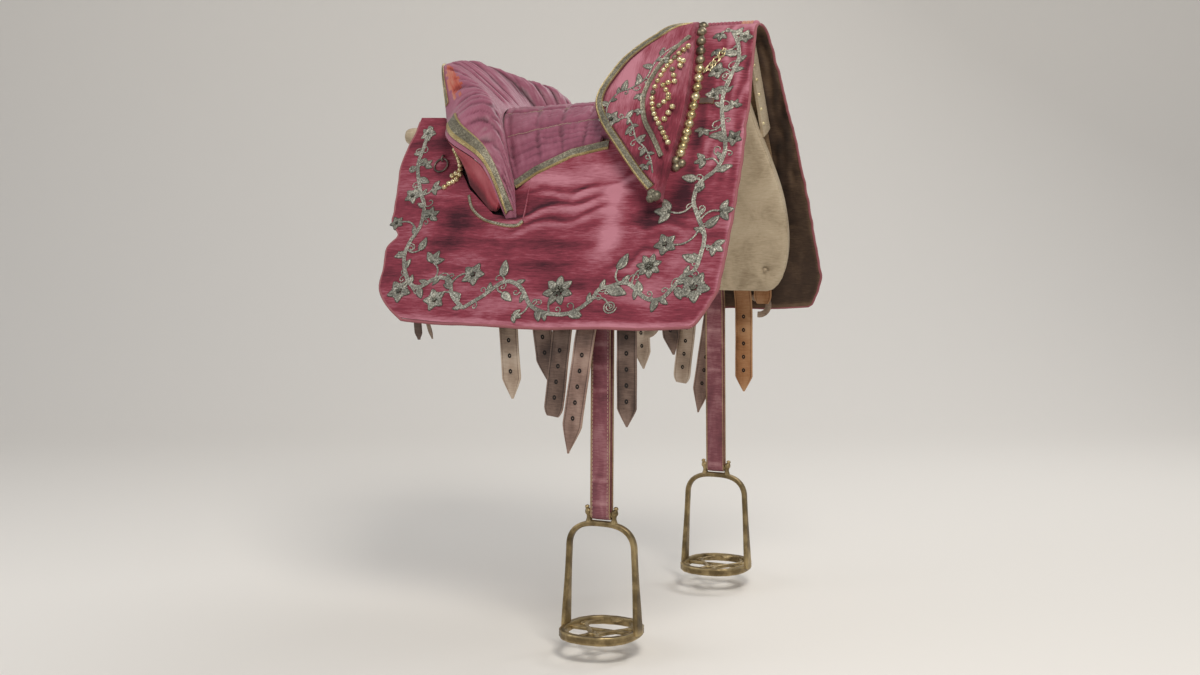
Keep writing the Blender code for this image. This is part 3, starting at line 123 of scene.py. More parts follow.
class Mesh:
    """Gathers vertices and faces for one piece, with values painted on the vertices."""

    def __init__(self):
        self.places = []
        self.faces = []
        self.kinds = []
        self.flat = []
        self.wear_and_shade = []

    def add(self, place, flat=(0.0, 0.0), wear_and_shade=0.0):
        self.places.append(tuple(place))
        self.flat.append((flat[0], flat[1], 0.0))
        self.wear_and_shade.append(wear_and_shade)
        return len(self.places) - 1

    def face(self, corners, kind=0):
        self.faces.append(tuple(corners))
        self.kinds.append(kind)

    def grid(self, rows, kind=0, flats=None, wear_and_shade_rows=None, closed=False, around=False):
        """Faces over a grid of places; closed joins the last row to the first, around each row's ends."""
        ids = []
        for i, row in enumerate(rows):
            line = []
            for j, place in enumerate(row):
                if place is None:
                    line.append(None)
                    continue
                flat = flats[i][j] if flats else (i * 0.01, j * 0.01)
                line.append(self.add(place, flat, wear_and_shade_rows[i][j] if wear_and_shade_rows else 0.0))
            ids.append(line)
        high = len(ids) if closed else len(ids) - 1
        wide = len(ids[0]) if around else len(ids[0]) - 1
        for i in range(high):
            for j in range(wide):
                a, b = ids[i], ids[(i + 1) % len(ids)]
                k = (j + 1) % len(a)
                cell = (a[j], b[j], b[k], a[k])
                if None not in cell:
                    self.face(cell, kind)
        return ids

    def slab(self, outer, inner, kinds=(0, 0, 0), flats=None, wear_and_shade_rows=None):
        """A closed sheet between two grids, its rims closed."""
        top = self.grid(outer, kinds[0], flats, wear_and_shade_rows)
        low = self.grid(inner, kinds[1], flats, wear_and_shade_rows)
        used = {}
        for i in range(len(top) - 1):
            for j in range(len(top[0]) - 1):
                cell = ((i, j), (i + 1, j), (i + 1, j + 1), (i, j + 1))
                if any(top[r][c] is None for r, c in cell):
                    continue
                for start, end in zip(cell, cell[1:] + cell[:1]):
                    used[(start, end)] = True
        for (r1, c1), (r2, c2) in used:
            if ((r2, c2), (r1, c1)) not in used:
                self.face((top[r2][c2], top[r1][c1], low[r1][c1], low[r2][c2]), kinds[2])

    def layered(self, rows, kinds=(0, 0, 0)):
        """A closed sheet from rows of cells: outer place, inner place, flat values and painted wear and
        shade.
        """
        outer, inner, flats, wear_and_shade_rows = ([[cell[k] for cell in row] for row in rows] for k in range(4))
        self.slab(outer, inner, kinds, flats, wear_and_shade_rows)
        return outer, inner

    def tube(self, path, radius, sides=8, closed=False, up=(0, 0, 1), kind=0, flat=1.0):
        """A round or flattened tube along a path; radius is a number or one for each point."""
        rings = []
        count = len(path)
        run = 0.0
        flats = []
        for i, centre in enumerate(path):
            before = path[i - 1] if (i > 0 or closed) else path[i]
            after = path[(i + 1) % count] if (i < count - 1 or closed) else path[i]
            heading = (Vector(after) - Vector(before)).normalized()
            side = heading.cross(Vector(up))
            if side.length < 1e-4:
                side = heading.cross(Vector((0.31, 0.95, 0.0)))
            side.normalize()
            lift = side.cross(heading)
            size = radius[i] if isinstance(radius, (list, tuple)) else radius
            ring = []
            for k in range(sides):
                turn = 2 * math.pi * (k + 0.5) / sides
                ray = math.cos(turn) * side + flat * math.sin(turn) * lift
                ring.append(Vector(centre) + size * ray)
            rings.append(ring)
            flats.append([(run, 2 * math.pi * size * k / sides) for k in range(sides)])
            run += (Vector(after) - Vector(centre)).length
        ids = self.grid(rings, kind, flats, None, closed, True)
        if not closed:
            self.face(reversed(ids[0]), kind)
            self.face(ids[-1], kind)

    def dome(self, centre, normal, radius, height, sides=14, rings=4, kind=0, sunk=0.0006):
        """A domed nail head or a raised bump."""
        normal = Vector(normal).normalized()
        first = normal.orthogonal().normalized()
        second = normal.cross(first)
        rows = []
        for i in range(rings + 1):
            turn = math.pi / 2 * i / (rings + 0.35)
            spread = radius * math.cos(turn)
            rise = height * math.sin(turn) if i else -sunk
            rows.append([Vector(centre) + rise * normal
                         + spread * (math.cos(2 * math.pi * k / sides) * first
                                     + math.sin(2 * math.pi * k / sides) * second) for k in range(sides)])
        flats = [[(i * 0.2, k / sides) for k in range(sides)] for i in range(rings + 1)]
        ids = self.grid(rows, kind, flats, None, False, True)
        self.face(ids[-1], kind)
        self.face(list(reversed(ids[0])), kind)

    def build(self, name, materials, body="saddle", smooth=50):
        """Make the object, facing out, with its painted values, and let it ride its body."""
        mesh = bpy.data.meshes.new(name)
        mesh.from_pydata(self.places, [], self.faces)
        for material in materials:
            mesh.materials.append(material)
        mesh.polygons.foreach_set("material_index", self.kinds)
        attribute = mesh.attributes.new("flat", "FLOAT_VECTOR", "POINT")
        attribute.data.foreach_set("vector", np.array(self.flat, dtype=np.float32).ravel())
        # The painted value on each vertex: real wear, and painted highlights and shade where pieces carry
        # them.
        attribute = mesh.attributes.new("wear_and_shade", "FLOAT", "POINT")
        attribute.data.foreach_set("value", np.array(self.wear_and_shade, dtype=np.float32))
        bm = bmesh.new()
        bm.from_mesh(mesh)
        bmesh.ops.recalc_face_normals(bm, faces=bm.faces[:])
        bm.to_mesh(mesh)
        bm.free()
        mesh.shade_smooth()
        mesh.set_sharp_from_angle(angle=math.radians(smooth))
        made = bpy.data.objects.new(name, mesh)
        bpy.context.scene.collection.objects.link(made)
        if body is not None:
            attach(made, body)
        return made


# Materials
def shader_of(name):
    """A new material and the handles to build it with."""
    made = bpy.data.materials.new(name)
    made.use_nodes = True
    tree = made.node_tree
    return made, tree, tree.nodes["Principled BSDF"]


def add_node(tree, kind, **values):
    """A shader node with its settings and input values."""
    made = tree.nodes.new(kind)
    for key, value in values.items():
        if key in made.inputs:
            made.inputs[key].default_value = value
        else:
            setattr(made, key, value)
    return made


def painted(tree, name):
    """The values painted on a piece's vertices."""
    return add_node(tree, "ShaderNodeAttribute", attribute_name=name)


def stretched(tree, source, scale):
    """Texture places drawn out along one way."""
    made = add_node(tree, "ShaderNodeMapping", Scale=scale)
    tree.links.new(source, made.inputs["Vector"])
    return made.outputs["Vector"]


def cloud(tree, place, scale, detail=3.0, rough=0.55, distortion=0.0):
    """Soft noise at a scale."""
    made = add_node(tree, "ShaderNodeTexNoise", Scale=scale, Detail=detail, Roughness=rough,
                    Distortion=distortion)
    tree.links.new(place, made.inputs["Vector"])
    return made.outputs["Fac"]


def ramp(tree, value, stops):
    """Colours along a value; each stop is a place and a colour."""
    made = tree.nodes.new("ShaderNodeValToRGB")
    tree.links.new(value, made.inputs["Fac"])
    points = made.color_ramp.elements
    while len(points) < len(stops):
        points.new(0.5)
    for point, (spot, colour) in zip(points, stops):
        point.position = spot
        point.color = (*colour, 1.0)
    return made.outputs["Color"]


def maths(tree, kind, a, b, clamp=False):
    """One sum on two values or sockets."""
    made = add_node(tree, "ShaderNodeMath", operation=kind, use_clamp=clamp)
    for slot, value in zip(made.inputs, (a, b)):
        if isinstance(value, (int, float)):
            slot.default_value = value
        else:
            tree.links.new(value, slot)
    return made.outputs["Value"]


def weighed(tree, shares, extra=0.0):
    """Textures added up by their shares, kept between 0 and 1."""
    total = 0.0
    for value, share in shares:
        total = maths(tree, "ADD", maths(tree, "MULTIPLY", value, share), total)
    return maths(tree, "ADD", total, extra, True)


def set_inputs(shader, values):
    """Plain values for the inputs of a shader."""
    for name, value in values.items():
        shader.inputs[name].default_value = value


def bumped(tree, shader, height, strength, distance):
    """A fine relief on the surface."""
    made = add_node(tree, "ShaderNodeBump", Strength=strength, Distance=distance)
    tree.links.new(height, made.inputs["Height"])
    tree.links.new(made.outputs["Normal"], shader.inputs["Normal"])


def velvet_material(name, deep, middle, pale):
    """Worn crimson velvet: streaks along the saddle, pale where the pile is crushed or gone, and lighter or
    darker with the painted highlights and shade on its vertices.
    """
    made, tree, shader = shader_of(name)
    flat = painted(tree, "flat").outputs["Vector"]
    wear_and_shade = painted(tree, "wear_and_shade").outputs["Fac"]
    streak = cloud(tree, stretched(tree, flat, (5.0, 34.0, 1.0)), 1.0, 4.0, 0.62, 0.3)
    patch = cloud(tree, stretched(tree, flat, (11.0, 13.0, 1.0)), 1.0, 3.0, 0.55, 0.6)
    fine = cloud(tree, stretched(tree, flat, (60.0, 420.0, 1.0)), 1.0, 3.0, 0.7)
    value = weighed(tree, ((streak, 0.60), (patch, 0.36), (fine, 0.46)), wear_and_shade)
    between = tuple((a + b) / 2 for a, b in zip(deep, middle))
    colour = ramp(tree, value, ((0.45, deep), (0.60, between), (0.72, middle), (1.00, pale)))
    tree.links.new(colour, shader.inputs["Base Color"])
    set_inputs(shader, {"Roughness": 0.78, "Specular IOR Level": 0.22, "Sheen Weight": 0.22,
                        "Sheen Roughness": 0.45, "Sheen Tint": (0.80, 0.50, 0.55, 1.0)})
    pile = cloud(tree, stretched(tree, flat, (160.0, 700.0, 1.0)), 1.0, 2.0, 0.6)
    bumped(tree, shader, pile, 0.35, 0.0006)
    return made


def satin_material(name, deep, middle, pale):
    """Dusty satin with fine threads and a soft gloss."""
    made, tree, shader = shader_of(name)
    flat = painted(tree, "flat").outputs["Vector"]
    wear_and_shade = painted(tree, "wear_and_shade").outputs["Fac"]
    soft = cloud(tree, stretched(tree, flat, (14.0, 22.0, 1.0)), 1.0, 4.0, 0.6, 0.4)
    thread = cloud(tree, stretched(tree, flat, (90.0, 900.0, 1.0)), 1.0, 2.0, 0.6)
    value = weighed(tree, ((soft, 0.62), (thread, 0.26)), wear_and_shade)
    tree.links.new(ramp(tree, value, ((0.10, deep), (0.44, middle), (0.80, pale))),
                   shader.inputs["Base Color"])
    set_inputs(shader, {"Roughness": 0.46, "Specular IOR Level": 0.35, "Sheen Weight": 0.15,
                        "Anisotropic": 0.3})
    bumped(tree, shader, thread, 0.25, 0.0004)
    return made


def thread_material(name, deep, middle, pale, scale):
    """Metal thread or woven braid, tarnished in patches, with a grainy relief."""
    made, tree, shader = shader_of(name)
    place = add_node(tree, "ShaderNodeTexCoord").outputs["Object"]
    grain = cloud(tree, place, scale, 2.0, 0.7)
    patch = cloud(tree, place, 26.0, 3.0, 0.6)
    value = weighed(tree, ((grain, 0.65), (patch, 0.45)))
    tree.links.new(ramp(tree, value, ((0.30, deep), (0.55, middle), (0.76, pale))),
                   shader.inputs["Base Color"])
    set_inputs(shader, {"Metallic": 0.45, "Roughness": 0.42})
    bumped(tree, shader, grain, 0.75, 0.0008)
    return made


def leather_material(name, deep, middle, pale, scale=1.0, rough=0.55):
    """Old leather, suede or wood: mottled, with cross cracks and rubbed edges."""
    made, tree, shader = shader_of(name)
    place = add_node(tree, "ShaderNodeTexCoord").outputs["Object"]
    wear_and_shade = painted(tree, "wear_and_shade").outputs["Fac"]
    mottle = stretched(tree, place, (30.0 * scale, 30.0 * scale, 12.0 * scale))
    soft = cloud(tree, mottle, 1.0, 4.0, 0.6, 0.5)
    crack = cloud(tree, stretched(tree, place, (90.0, 90.0, 620.0)), 1.0, 3.0, 0.65, 0.4)
    value = weighed(tree, ((soft, 0.66), (crack, 0.34)), wear_and_shade)
    tree.links.new(ramp(tree, value, ((0.28, deep), (0.50, middle), (0.78, pale))),
                   shader.inputs["Base Color"])
    set_inputs(shader, {"Roughness": rough, "Specular IOR Level": 0.35})
    bumped(tree, shader, crack, 0.4, 0.0006)
    return made


def metal_material(name, deep, middle, pale, rough=0.38, metal=0.85, scale=60.0):
    """Old metal: dark in its hollows, bright where it is rubbed."""
    made, tree, shader = shader_of(name)
    place = add_node(tree, "ShaderNodeTexCoord").outputs["Object"]
    edge = add_node(tree, "ShaderNodeNewGeometry").outputs["Pointiness"]
    rub = maths(tree, "MULTIPLY", maths(tree, "SUBTRACT", edge, 0.5), 3.0)
    value = maths(tree, "ADD", cloud(tree, place, scale, 4.0, 0.6), rub, True)
    tree.links.new(ramp(tree, value, ((0.30, deep), (0.52, middle), (0.75, pale))),
                   shader.inputs["Base Color"])
    set_inputs(shader, {"Metallic": metal, "Roughness": rough})
    bumped(tree, shader, cloud(tree, place, 420.0, 2.0, 0.6), 0.12, 0.0005)
    return made


def plain_material(name, colour, rough):
    """One even colour."""
    made, _, shader = shader_of(name)
    set_inputs(shader, {"Base Color": (*colour, 1.0), "Roughness": rough})
    return made


VELVET = velvet_material("velvet", (0.040, 0.006, 0.012), (0.225, 0.034, 0.054), (0.48, 0.19, 0.235))
CRIMSON = satin_material("crimson board", (0.11, 0.007, 0.014), (0.36, 0.034, 0.052), (0.58, 0.15, 0.17))
WOOD = leather_material("bare wood", (0.10, 0.060, 0.030), (0.27, 0.175, 0.095), (0.42, 0.30, 0.18), 0.7,
                        0.75)
LINING = leather_material("lining", (0.018, 0.011, 0.008), (0.060, 0.035, 0.022), (0.16, 0.10, 0.06), 0.6,
                          0.85)
SATIN = satin_material("seat satin", (0.070, 0.012, 0.024), (0.255, 0.070, 0.112), (0.42, 0.165, 0.225))
GALLOON = thread_material("galloon", (0.040, 0.036, 0.024), (0.185, 0.165, 0.115), (0.50, 0.46, 0.34),
                          430.0)
GOLD_EDGE = thread_material("gold edging", (0.14, 0.10, 0.035), (0.36, 0.27, 0.11), (0.66, 0.55, 0.30),
                            620.0)
PURL = thread_material("embroidery", (0.045, 0.044, 0.036), (0.225, 0.215, 0.175), (0.72, 0.70, 0.58),
                       430.0)
CORD_EDGE = thread_material("embroidery cord", (0.020, 0.018, 0.014), (0.075, 0.072, 0.055),
                            (0.30, 0.29, 0.22), 700.0)
BRASS = metal_material("brass nails", (0.13, 0.09, 0.035), (0.44, 0.34, 0.16), (0.78, 0.68, 0.42), 0.30)
DULL_BRASS = metal_material("tarnished nails", (0.035, 0.030, 0.022), (0.12, 0.10, 0.070),
                            (0.34, 0.29, 0.19), 0.42)
STIRRUP_BRASS = metal_material("stirrup brass", (0.055, 0.038, 0.017), (0.19, 0.135, 0.062),
                               (0.45, 0.34, 0.17), 0.42, 0.75, 34.0)
IRON = metal_material("iron", (0.02, 0.018, 0.016), (0.075, 0.06, 0.05), (0.20, 0.16, 0.13), 0.45, 0.8)
SUEDE = leather_material("suede", (0.27, 0.205, 0.13), (0.51, 0.415, 0.29), (0.68, 0.59, 0.44), 0.8, 0.9)
RED_LEATHER = leather_material("red leather", (0.080, 0.020, 0.028), (0.225, 0.070, 0.086),
                               (0.46, 0.24, 0.25), 1.0, 0.38)
BROWN_LEATHER = leather_material("brown leather", (0.030, 0.018, 0.014), (0.108, 0.066, 0.049),
                                 (0.26, 0.175, 0.135), 1.0, 0.6)
MID_LEATHER = leather_material("middle brown leather", (0.070, 0.040, 0.031), (0.235, 0.145, 0.112),
                               (0.43, 0.30, 0.24), 1.0, 0.6)
PALE_LEATHER = leather_material("pale leather", (0.16, 0.105, 0.072), (0.37, 0.275, 0.20),
                                (0.57, 0.46, 0.36), 1.0, 0.62)
ORANGE_LEATHER = leather_material("orange leather", (0.13, 0.05, 0.018), (0.33, 0.15, 0.06),
                                  (0.50, 0.28, 0.14), 1.0, 0.58)
TAN_EDGE = leather_material("tan edge", (0.14, 0.08, 0.04), (0.32, 0.20, 0.11), (0.52, 0.38, 0.24), 1.0,
                            0.55)
# Near black: painted shade for the strap holes, which are not cut through.
HOLE = plain_material("hole", (0.012, 0.008, 0.006), 0.9)
EDGE_VELVET = plain_material("piping velvet", (0.30, 0.095, 0.105), 0.85)
DARK_VELVET = plain_material("velvet in shadow", (0.020, 0.005, 0.008), 0.95)
DARK_CORD = plain_material("dark red cord", (0.10, 0.012, 0.022), 0.7)
STITCH = plain_material("stitching", (0.46, 0.36, 0.25), 0.8)
WORN_RED = velvet_material("worn red velvet", (0.17, 0.022, 0.020), (0.40, 0.085, 0.058),
                           (0.52, 0.27, 0.19))


# The velvet housing and flaps
CORNER = 0.060
PIPING = 0.0021

# Places where the velvet is pale or dark: x, drop, spread along, spread down, amount
PAINT = (
    (-0.006, 0.306, 0.013, 0.036, 0.34), (-0.002, 0.368, 0.017, 0.030, 0.30),
    (-0.018, 0.405, 0.022, 0.024, 0.16), (-0.100, 0.268, 0.055, 0.024, 0.22),
    (-0.040, 0.258, 0.030, 0.026, 0.20), (-0.250, 0.345, 0.030, 0.030, -0.26),
    (-0.270, 0.385, 0.030, 0.022, -0.14), (-0.090, 0.408, 0.050, 0.010, -0.20),
    (-0.060, 0.440, 0.034, 0.010, -0.20), (-0.075, 0.378, 0.042, 0.009, -0.20),
    (-0.170, 0.388, 0.060, 0.010, -0.12), (0.060, 0.330, 0.030, 0.020, -0.20),
    (0.095, 0.300, 0.020, 0.030, -0.22), (0.100, 0.210, 0.010, 0.070, -0.22),
    (-0.150, 0.310, 0.030, 0.014, -0.10), (0.110, 0.020, 0.040, 0.030, 0.22),
    (0.130, 0.110, 0.020, 0.050, 0.12), (0.060, 0.440, 0.060, 0.020, 0.10),
    (0.110, 0.375, 0.030, 0.030, 0.10), (-0.310, 0.200, 0.040, 0.030, -0.10),
    (-0.330, 0.470, 0.020, 0.020, 0.08), (-0.160, 0.460, 0.050, 0.030, 0.06),
    (-0.215, 0.420, 0.060, 0.030, 0.05),
)
# Folds in the velvet: two ends, height and half width
FOLDS = (
    ((-0.180, 0.345), (-0.040, 0.309), 0.0042, 0.0060),
    ((-0.150, 0.357), (-0.010, 0.326), 0.0030, 0.0055),
    ((-0.128, 0.300), (0.010, 0.286), 0.0024, 0.0050),
    ((-0.060, 0.300), (0.046, 0.262), 0.0026, 0.0050),
    ((0.040, 0.350), (0.135, 0.352), 0.0022, 0.0050),
    ((0.020, 0.420), (0.075, 0.382), 0.0026, 0.0060),
)


def front_edge(drop):
    """Front edge of the velvet."""
    x = FRONT_X + 0.022 * math.sin(math.pi / 2 * min(drop / FOLD, 1.0))
    corner = max(drop - (HEM - CORNER), 0.0) / CORNER
    return x - 0.026 * corner ** 1.5 + 0.0012 * ripple(drop * 60, 0.0, 3.0)


def rear_edge(drop):
    """Rear edge of the velvet, with the notch between skirt and flap."""
    x = REAR_X - 0.012 * math.exp(-((drop - 0.245) / 0.05) ** 2)
    x += 0.018 * math.exp(-((drop - FOLD - 0.012) / 0.014) ** 2)
    corner = max(drop - (HEM - CORNER), 0.0) / CORNER
    x += 0.012 * ease((drop - FOLD) / 0.08) + 0.050 * corner ** 2
    return x + 0.0014 * ripple(drop * 50, 0.0, 7.0)


def seat_line(x):
    """Where the velvet starts beside the seat."""
    return float(np.interp(x, *zip(*SEAT_LINE)))


def slit_line(x):
    """Where the velvet starts behind the cantle."""
    return float(np.interp(x, *zip(*SLIT_LINE)))


def velvet_top(x):
    """How far down the velvet starts at each place along the saddle."""
    return seat_line(x) if x > SLIT_FRONT_X else slit_line(x)


def hem(x):
    """How far down the velvet ends."""
    return HEM + 0.008 * math.sin(math.pi * (x - REAR_X) / (FRONT_X - REAR_X))


def fold_shape(x, drop):
    """Height of the folds in the velvet at a place."""
    total = 0.0
    for (x1, d1), (x2, d2), height, half in FOLDS:
        t = ((x - x1) * (x2 - x1) + (drop - d1) * (d2 - d1)) / ((x2 - x1) ** 2 + (d2 - d1) ** 2)
        if not -0.25 < t < 1.25:
            continue
        bow = 0.005 * math.sin(3.0 * t * math.pi + x1 * 90)
        away = ((drop - d1) * (x2 - x1) - (x - x1) * (d2 - d1)) / math.hypot(x2 - x1, d2 - d1) + bow
        fade = ease((t + 0.25) / 0.35) * ease((1.25 - t) / 0.35)
        total += height * fade * math.exp(-(away / half) ** 2)
    return total


def gathers(x, drop):
    """Short upright puckers along the front edge, from about -1 to 1."""
    return ripple(x * 95, drop * 34, 9.0) * ease((x - 0.095) / 0.02) * ease((0.30 - drop) / 0.06)


def relief(x, drop):
    """How proud of the plain skin the velvet stands."""
    reach = ease((drop - FOLD) / (HEM - FOLD))
    wave = 0.0045 * reach * (0.5 + 0.5 * math.sin(2 * math.pi * (x + 0.040) / 0.165))
    free = min(ease((x - 0.088) / 0.015) + ease((drop - 0.262) / 0.05), 1.0)
    free *= ease((drop - 0.01) / 0.04)
    soft = 0.0011 * ripple(x * 38, drop * 55, 1.0) + 0.0006 * ripple(x * 95, drop * 150, 5.0)
    return 0.0008 + wave + free * (soft + 0.0040 * gathers(x, drop) + fold_shape(x, drop))


def paint(x, drop):
    """How pale or dark the velvet is at a place: painted highlights and shade on its folds and puckers,
    pale and dark patches, and a paler hem and front edge.
    """
    # Painted highlight just below each fold's crest and painted shade just above it.
    total = 75 * fold_shape(x, drop - 0.003) - 55 * fold_shape(x, drop + 0.006)
    for px, pd, sx, sd, amount in PAINT:
        total += amount * math.exp(-((x - px) / sx) ** 2 - ((drop - pd) / sd) ** 2)
    # Painted highlight and shade on the puckers, following their bumps.
    total += 0.34 * gathers(x, drop)
    total += 0.24 * ease((drop - hem(x) + 0.012) / 0.008)
    total += 0.16 * ease((x - front_edge(drop) + 0.007) / 0.005)
    return total


def velvet(x, drop, side, lift=0.0):
    """A place on the velvet as it lies, folds and all."""
    return skin(x, drop, relief(x, drop) + lift, side)


def over_fold(made):
    """A piece of the velvet with its placement baked into its mesh."""
    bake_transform(made)
    return made


def make_velvet(side_name):
    """The housing and its flap as one cloth, with piping round the edge."""
    side = SIDES[side_name]
    part_u, slit_u = ((x - FRONT_X) / (REAR_X - FRONT_X) for x in (PART_LINE_X, SLIT_FRONT_X))
    columns = sorted(set(steps(190)) | {part_u, slit_u - 0.001, slit_u + 0.0015})
    ridge = [0.0003 + ARC * t for t in steps(10)] + [ARC + (0.195 - ARC) * t for t in steps(26)[1:]]
    rows = []
    for u in columns:
        x_here = FRONT_X + u * (REAR_X - FRONT_X)
        top, end = velvet_top(x_here), hem(x_here)
        drops = ridge + [top + t * (FOLD - top) for t in steps(30)]
        drops += [FOLD + t * (end - FOLD) for t in steps(30)[1:]]
        row = []
        for k, d in enumerate(drops):
            x = front_edge(d) + u * (rear_edge(d) - front_edge(d))
            used = k >= len(ridge) or u <= part_u + 1e-6
            row.append((velvet(x, d, side) if used else None, velvet(x, d, side, -SKIN) if used else None,
                        (x, d), paint(x, d)))
        rows.append(row)
    piece = Mesh()
    piece.layered(rows, (0, 1, 0))
    edge = [(front_edge(d), d) for d in np.linspace(0.004, HEM - 0.004, 110)]
    along_hem = [front_edge(HEM) + t * (rear_edge(HEM) - front_edge(HEM)) for t in steps(110)[1:-1]]
    edge += [(x, hem(x)) for x in along_hem]
    edge += [(rear_edge(d), d) for d in np.linspace(HEM - 0.004, 0.17, 80)]
    path = [velvet(x, min(d, hem(x)), side, -SKIN / 2) for x, d in edge]
    piece.tube(path, PIPING, 8, kind=2)
    made = piece.build("velvet_" + side_name, [VELVET, LINING, EDGE_VELVET], None)
    over_fold(made)
    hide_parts("housing_" + side_name, "flap_" + side_name)


# The seat
RIM_TIP = (-0.172, 0.277)
RIM_DEPTH = 0.078
SEAT_FRONT_X = -0.051
CROWN_Z = 0.120
RIM_Z = 0.115
# Powers that shape the seat: how its side falls and how its rim runs
FALL = 2.2
RUN = 0.95


def seat_rim(w):
    """The rear rim of the seat, for w from -1 to 1."""
    tip = skin(*RIM_TIP, 0.0015, 1.0)
    spread = abs(w)
    x = RIM_TIP[0] - RIM_DEPTH * (1 - spread ** 2)
    z = tip.z + (RIM_Z - tip.z) * (1 - spread ** FALL)
    return Vector((x, math.copysign(tip.y * spread ** RUN, w), z))


def make_seat():
    """The quilted satin seat with puckered channels."""
    us = [1.045 * t for t in steps(114)]
    ws = [2 * t - 1 for t in steps(150)]
    rows = []
    for u in us:
        x_edge = SEAT_FRONT_X + u * (RIM_TIP[0] + 0.0025 - SEAT_FRONT_X)
        edge = skin(x_edge, seat_line(x_edge) - 0.0012, -0.0005, 1.0)
        crown = CROWN_Z + (RIM_Z - CROWN_Z) * ease(u)
        row = []
        for w in ws:
            spread = abs(w)
            x = x_edge - (RIM_DEPTH - 0.0025) * u * (1 - spread ** 2)
            y = math.copysign(edge.y * spread ** RUN, w)
            z = edge.z + (crown - edge.z) * (1 - spread ** FALL) - 0.008 * ease((u - 1.005) / 0.04)
            wander = 0.03 * ripple(u * 3, w * 4, 2.0)
            across = abs(math.cos(math.pi * 4 * (u + wander) + 0.4)) ** 26
            length = abs(math.cos(math.pi * 3 * (w + 1 + wander))) ** 30
            groove = max(across, length)
            near = math.exp(-(((u * 4 + 0.127) % 1.0 - 0.5) / 0.22) ** 2)
            pucker = near * (0.5 + 0.5 * math.sin(w * 150 + 9 * ripple(u * 5, w * 9, 4.0)))
            wrinkle = 0.0010 * ripple(u * 26, w * 11, 6.0) + 0.0006 * ripple(u * 60, w * 24, 8.0)
            drawn = 0.5 + 0.5 * math.sin(spread * 105 + u * 9 + 4 * ripple(u * 5, spread * 5, 3.0))
            drawn = drawn ** 3 * math.exp(-((spread - 0.86) / 0.13) ** 2)
            depth = 0.0034 * groove + 0.0009 * pucker + 0.0020 * drawn - wrinkle
            depth *= ease((1 - spread) * 6)
            thick = 0.006 + 0.014 * ease((1 - spread) * 3)
            # Painted shade in the quilting grooves and drawn wrinkles, and painted highlight on the raised
            # wrinkles.
            row.append((Vector((x, y, z - depth)), Vector((x, y * 0.985, z - thick)), (x, w * 0.2),
                        0.05 - 0.17 * groove - 0.16 * drawn + 90 * wrinkle))
        rows.append(row)
    piece = Mesh()
    outer, _ = piece.layered(rows)
    made = piece.build("seat", [SATIN])
    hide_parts("seat_cushion")
    seams = Mesh()
    for k in range(-2, 3):
        column = int(round((k / 3 + 1) * 75))
        seams.tube([outer[i][column] + Vector((0, 0, 0.0003)) for i in range(2, 109)], 0.0004, 5)
    seams.build("seat_stitching", [STITCH])


# The cantle
CANTLE_RIM = ((-0.362, 0.000, 0.184), (-0.350, 0.052, 0.181), (-0.308, 0.108, 0.112),
              (-0.270, 0.165, 0.084), (-0.205, 0.181, 0.038), (-0.168, 0.177, -0.053))
CANTLE_CREST = ((-0.335, 0.000, 0.185), (-0.312, 0.045, 0.174), (-0.268, 0.085, 0.153),
                (-0.226, 0.124, 0.126), (-0.192, 0.154, 0.050), (-0.160, 0.1775, -0.046))
CANTLE_TIP_START = 0.80
BRAID_WIDTH = 0.0150
CANTLE_RIBS = 20
BOARD_TOP = ((-0.318, 0.000, 0.0992), (-0.313, 0.040, 0.0985), (-0.304, 0.074, 0.0960))
BOARD_FOOT_X = (-0.304, -0.286, -0.264, -0.238, -0.206, -0.168)
BOARD_TOP_END = 0.36
BOARD_REACH = 0.93


def mirrored(points, q):
    """A curve given for one half, read for q from -1 to 1."""
    spot = along(points, abs(q))
    return Vector((spot[0], math.copysign(spot[1], q), spot[2]))


def skewed(spot, q):
    """The old roll sags a little towards the right."""
    return spot + Vector((0.0, 0.0, 0.14 * spot.y * (1 - q ** 4)))


def cantle_edges(q):
    """The roll's outer rim, its crest and the line where it meets the seat."""
    if abs(q) <= CANTLE_TIP_START:
        base = seat_rim(q / CANTLE_TIP_START)
    else:
        k = (abs(q) - CANTLE_TIP_START) / (1 - CANTLE_TIP_START)
        base = skin(RIM_TIP[0] + k * 0.018, RIM_TIP[1] + k * 0.057, 0.0015, math.copysign(1.0, q))
    return skewed(mirrored(CANTLE_RIM, q), q), skewed(mirrored(CANTLE_CREST, q), q), base


def cantle_arc(q, w):
    """The roll's plain surface, from its outer rim over the crest to the seat."""
    rim, crest, base = cantle_edges(q)
    control = 2 * crest - (rim + base) / 2
    return rim * (1 - w) ** 2 + control * 2 * w * (1 - w) + base * w * w


def cantle_normal(q, w):
    """The way straight out of the roll."""
    step = 0.01
    along_q = cantle_arc(min(q + step, 1.0), w) - cantle_arc(max(q - step, -1.0), w)
    along_w = cantle_arc(q, w + step) - cantle_arc(q, w - step)
    normal = along_w.cross(along_q).normalized()
    bow = cantle_arc(q, 0.5) - (cantle_arc(q, 0.0) + cantle_arc(q, 1.0)) / 2
    return normal if normal.dot(bow) >= 0 else -normal


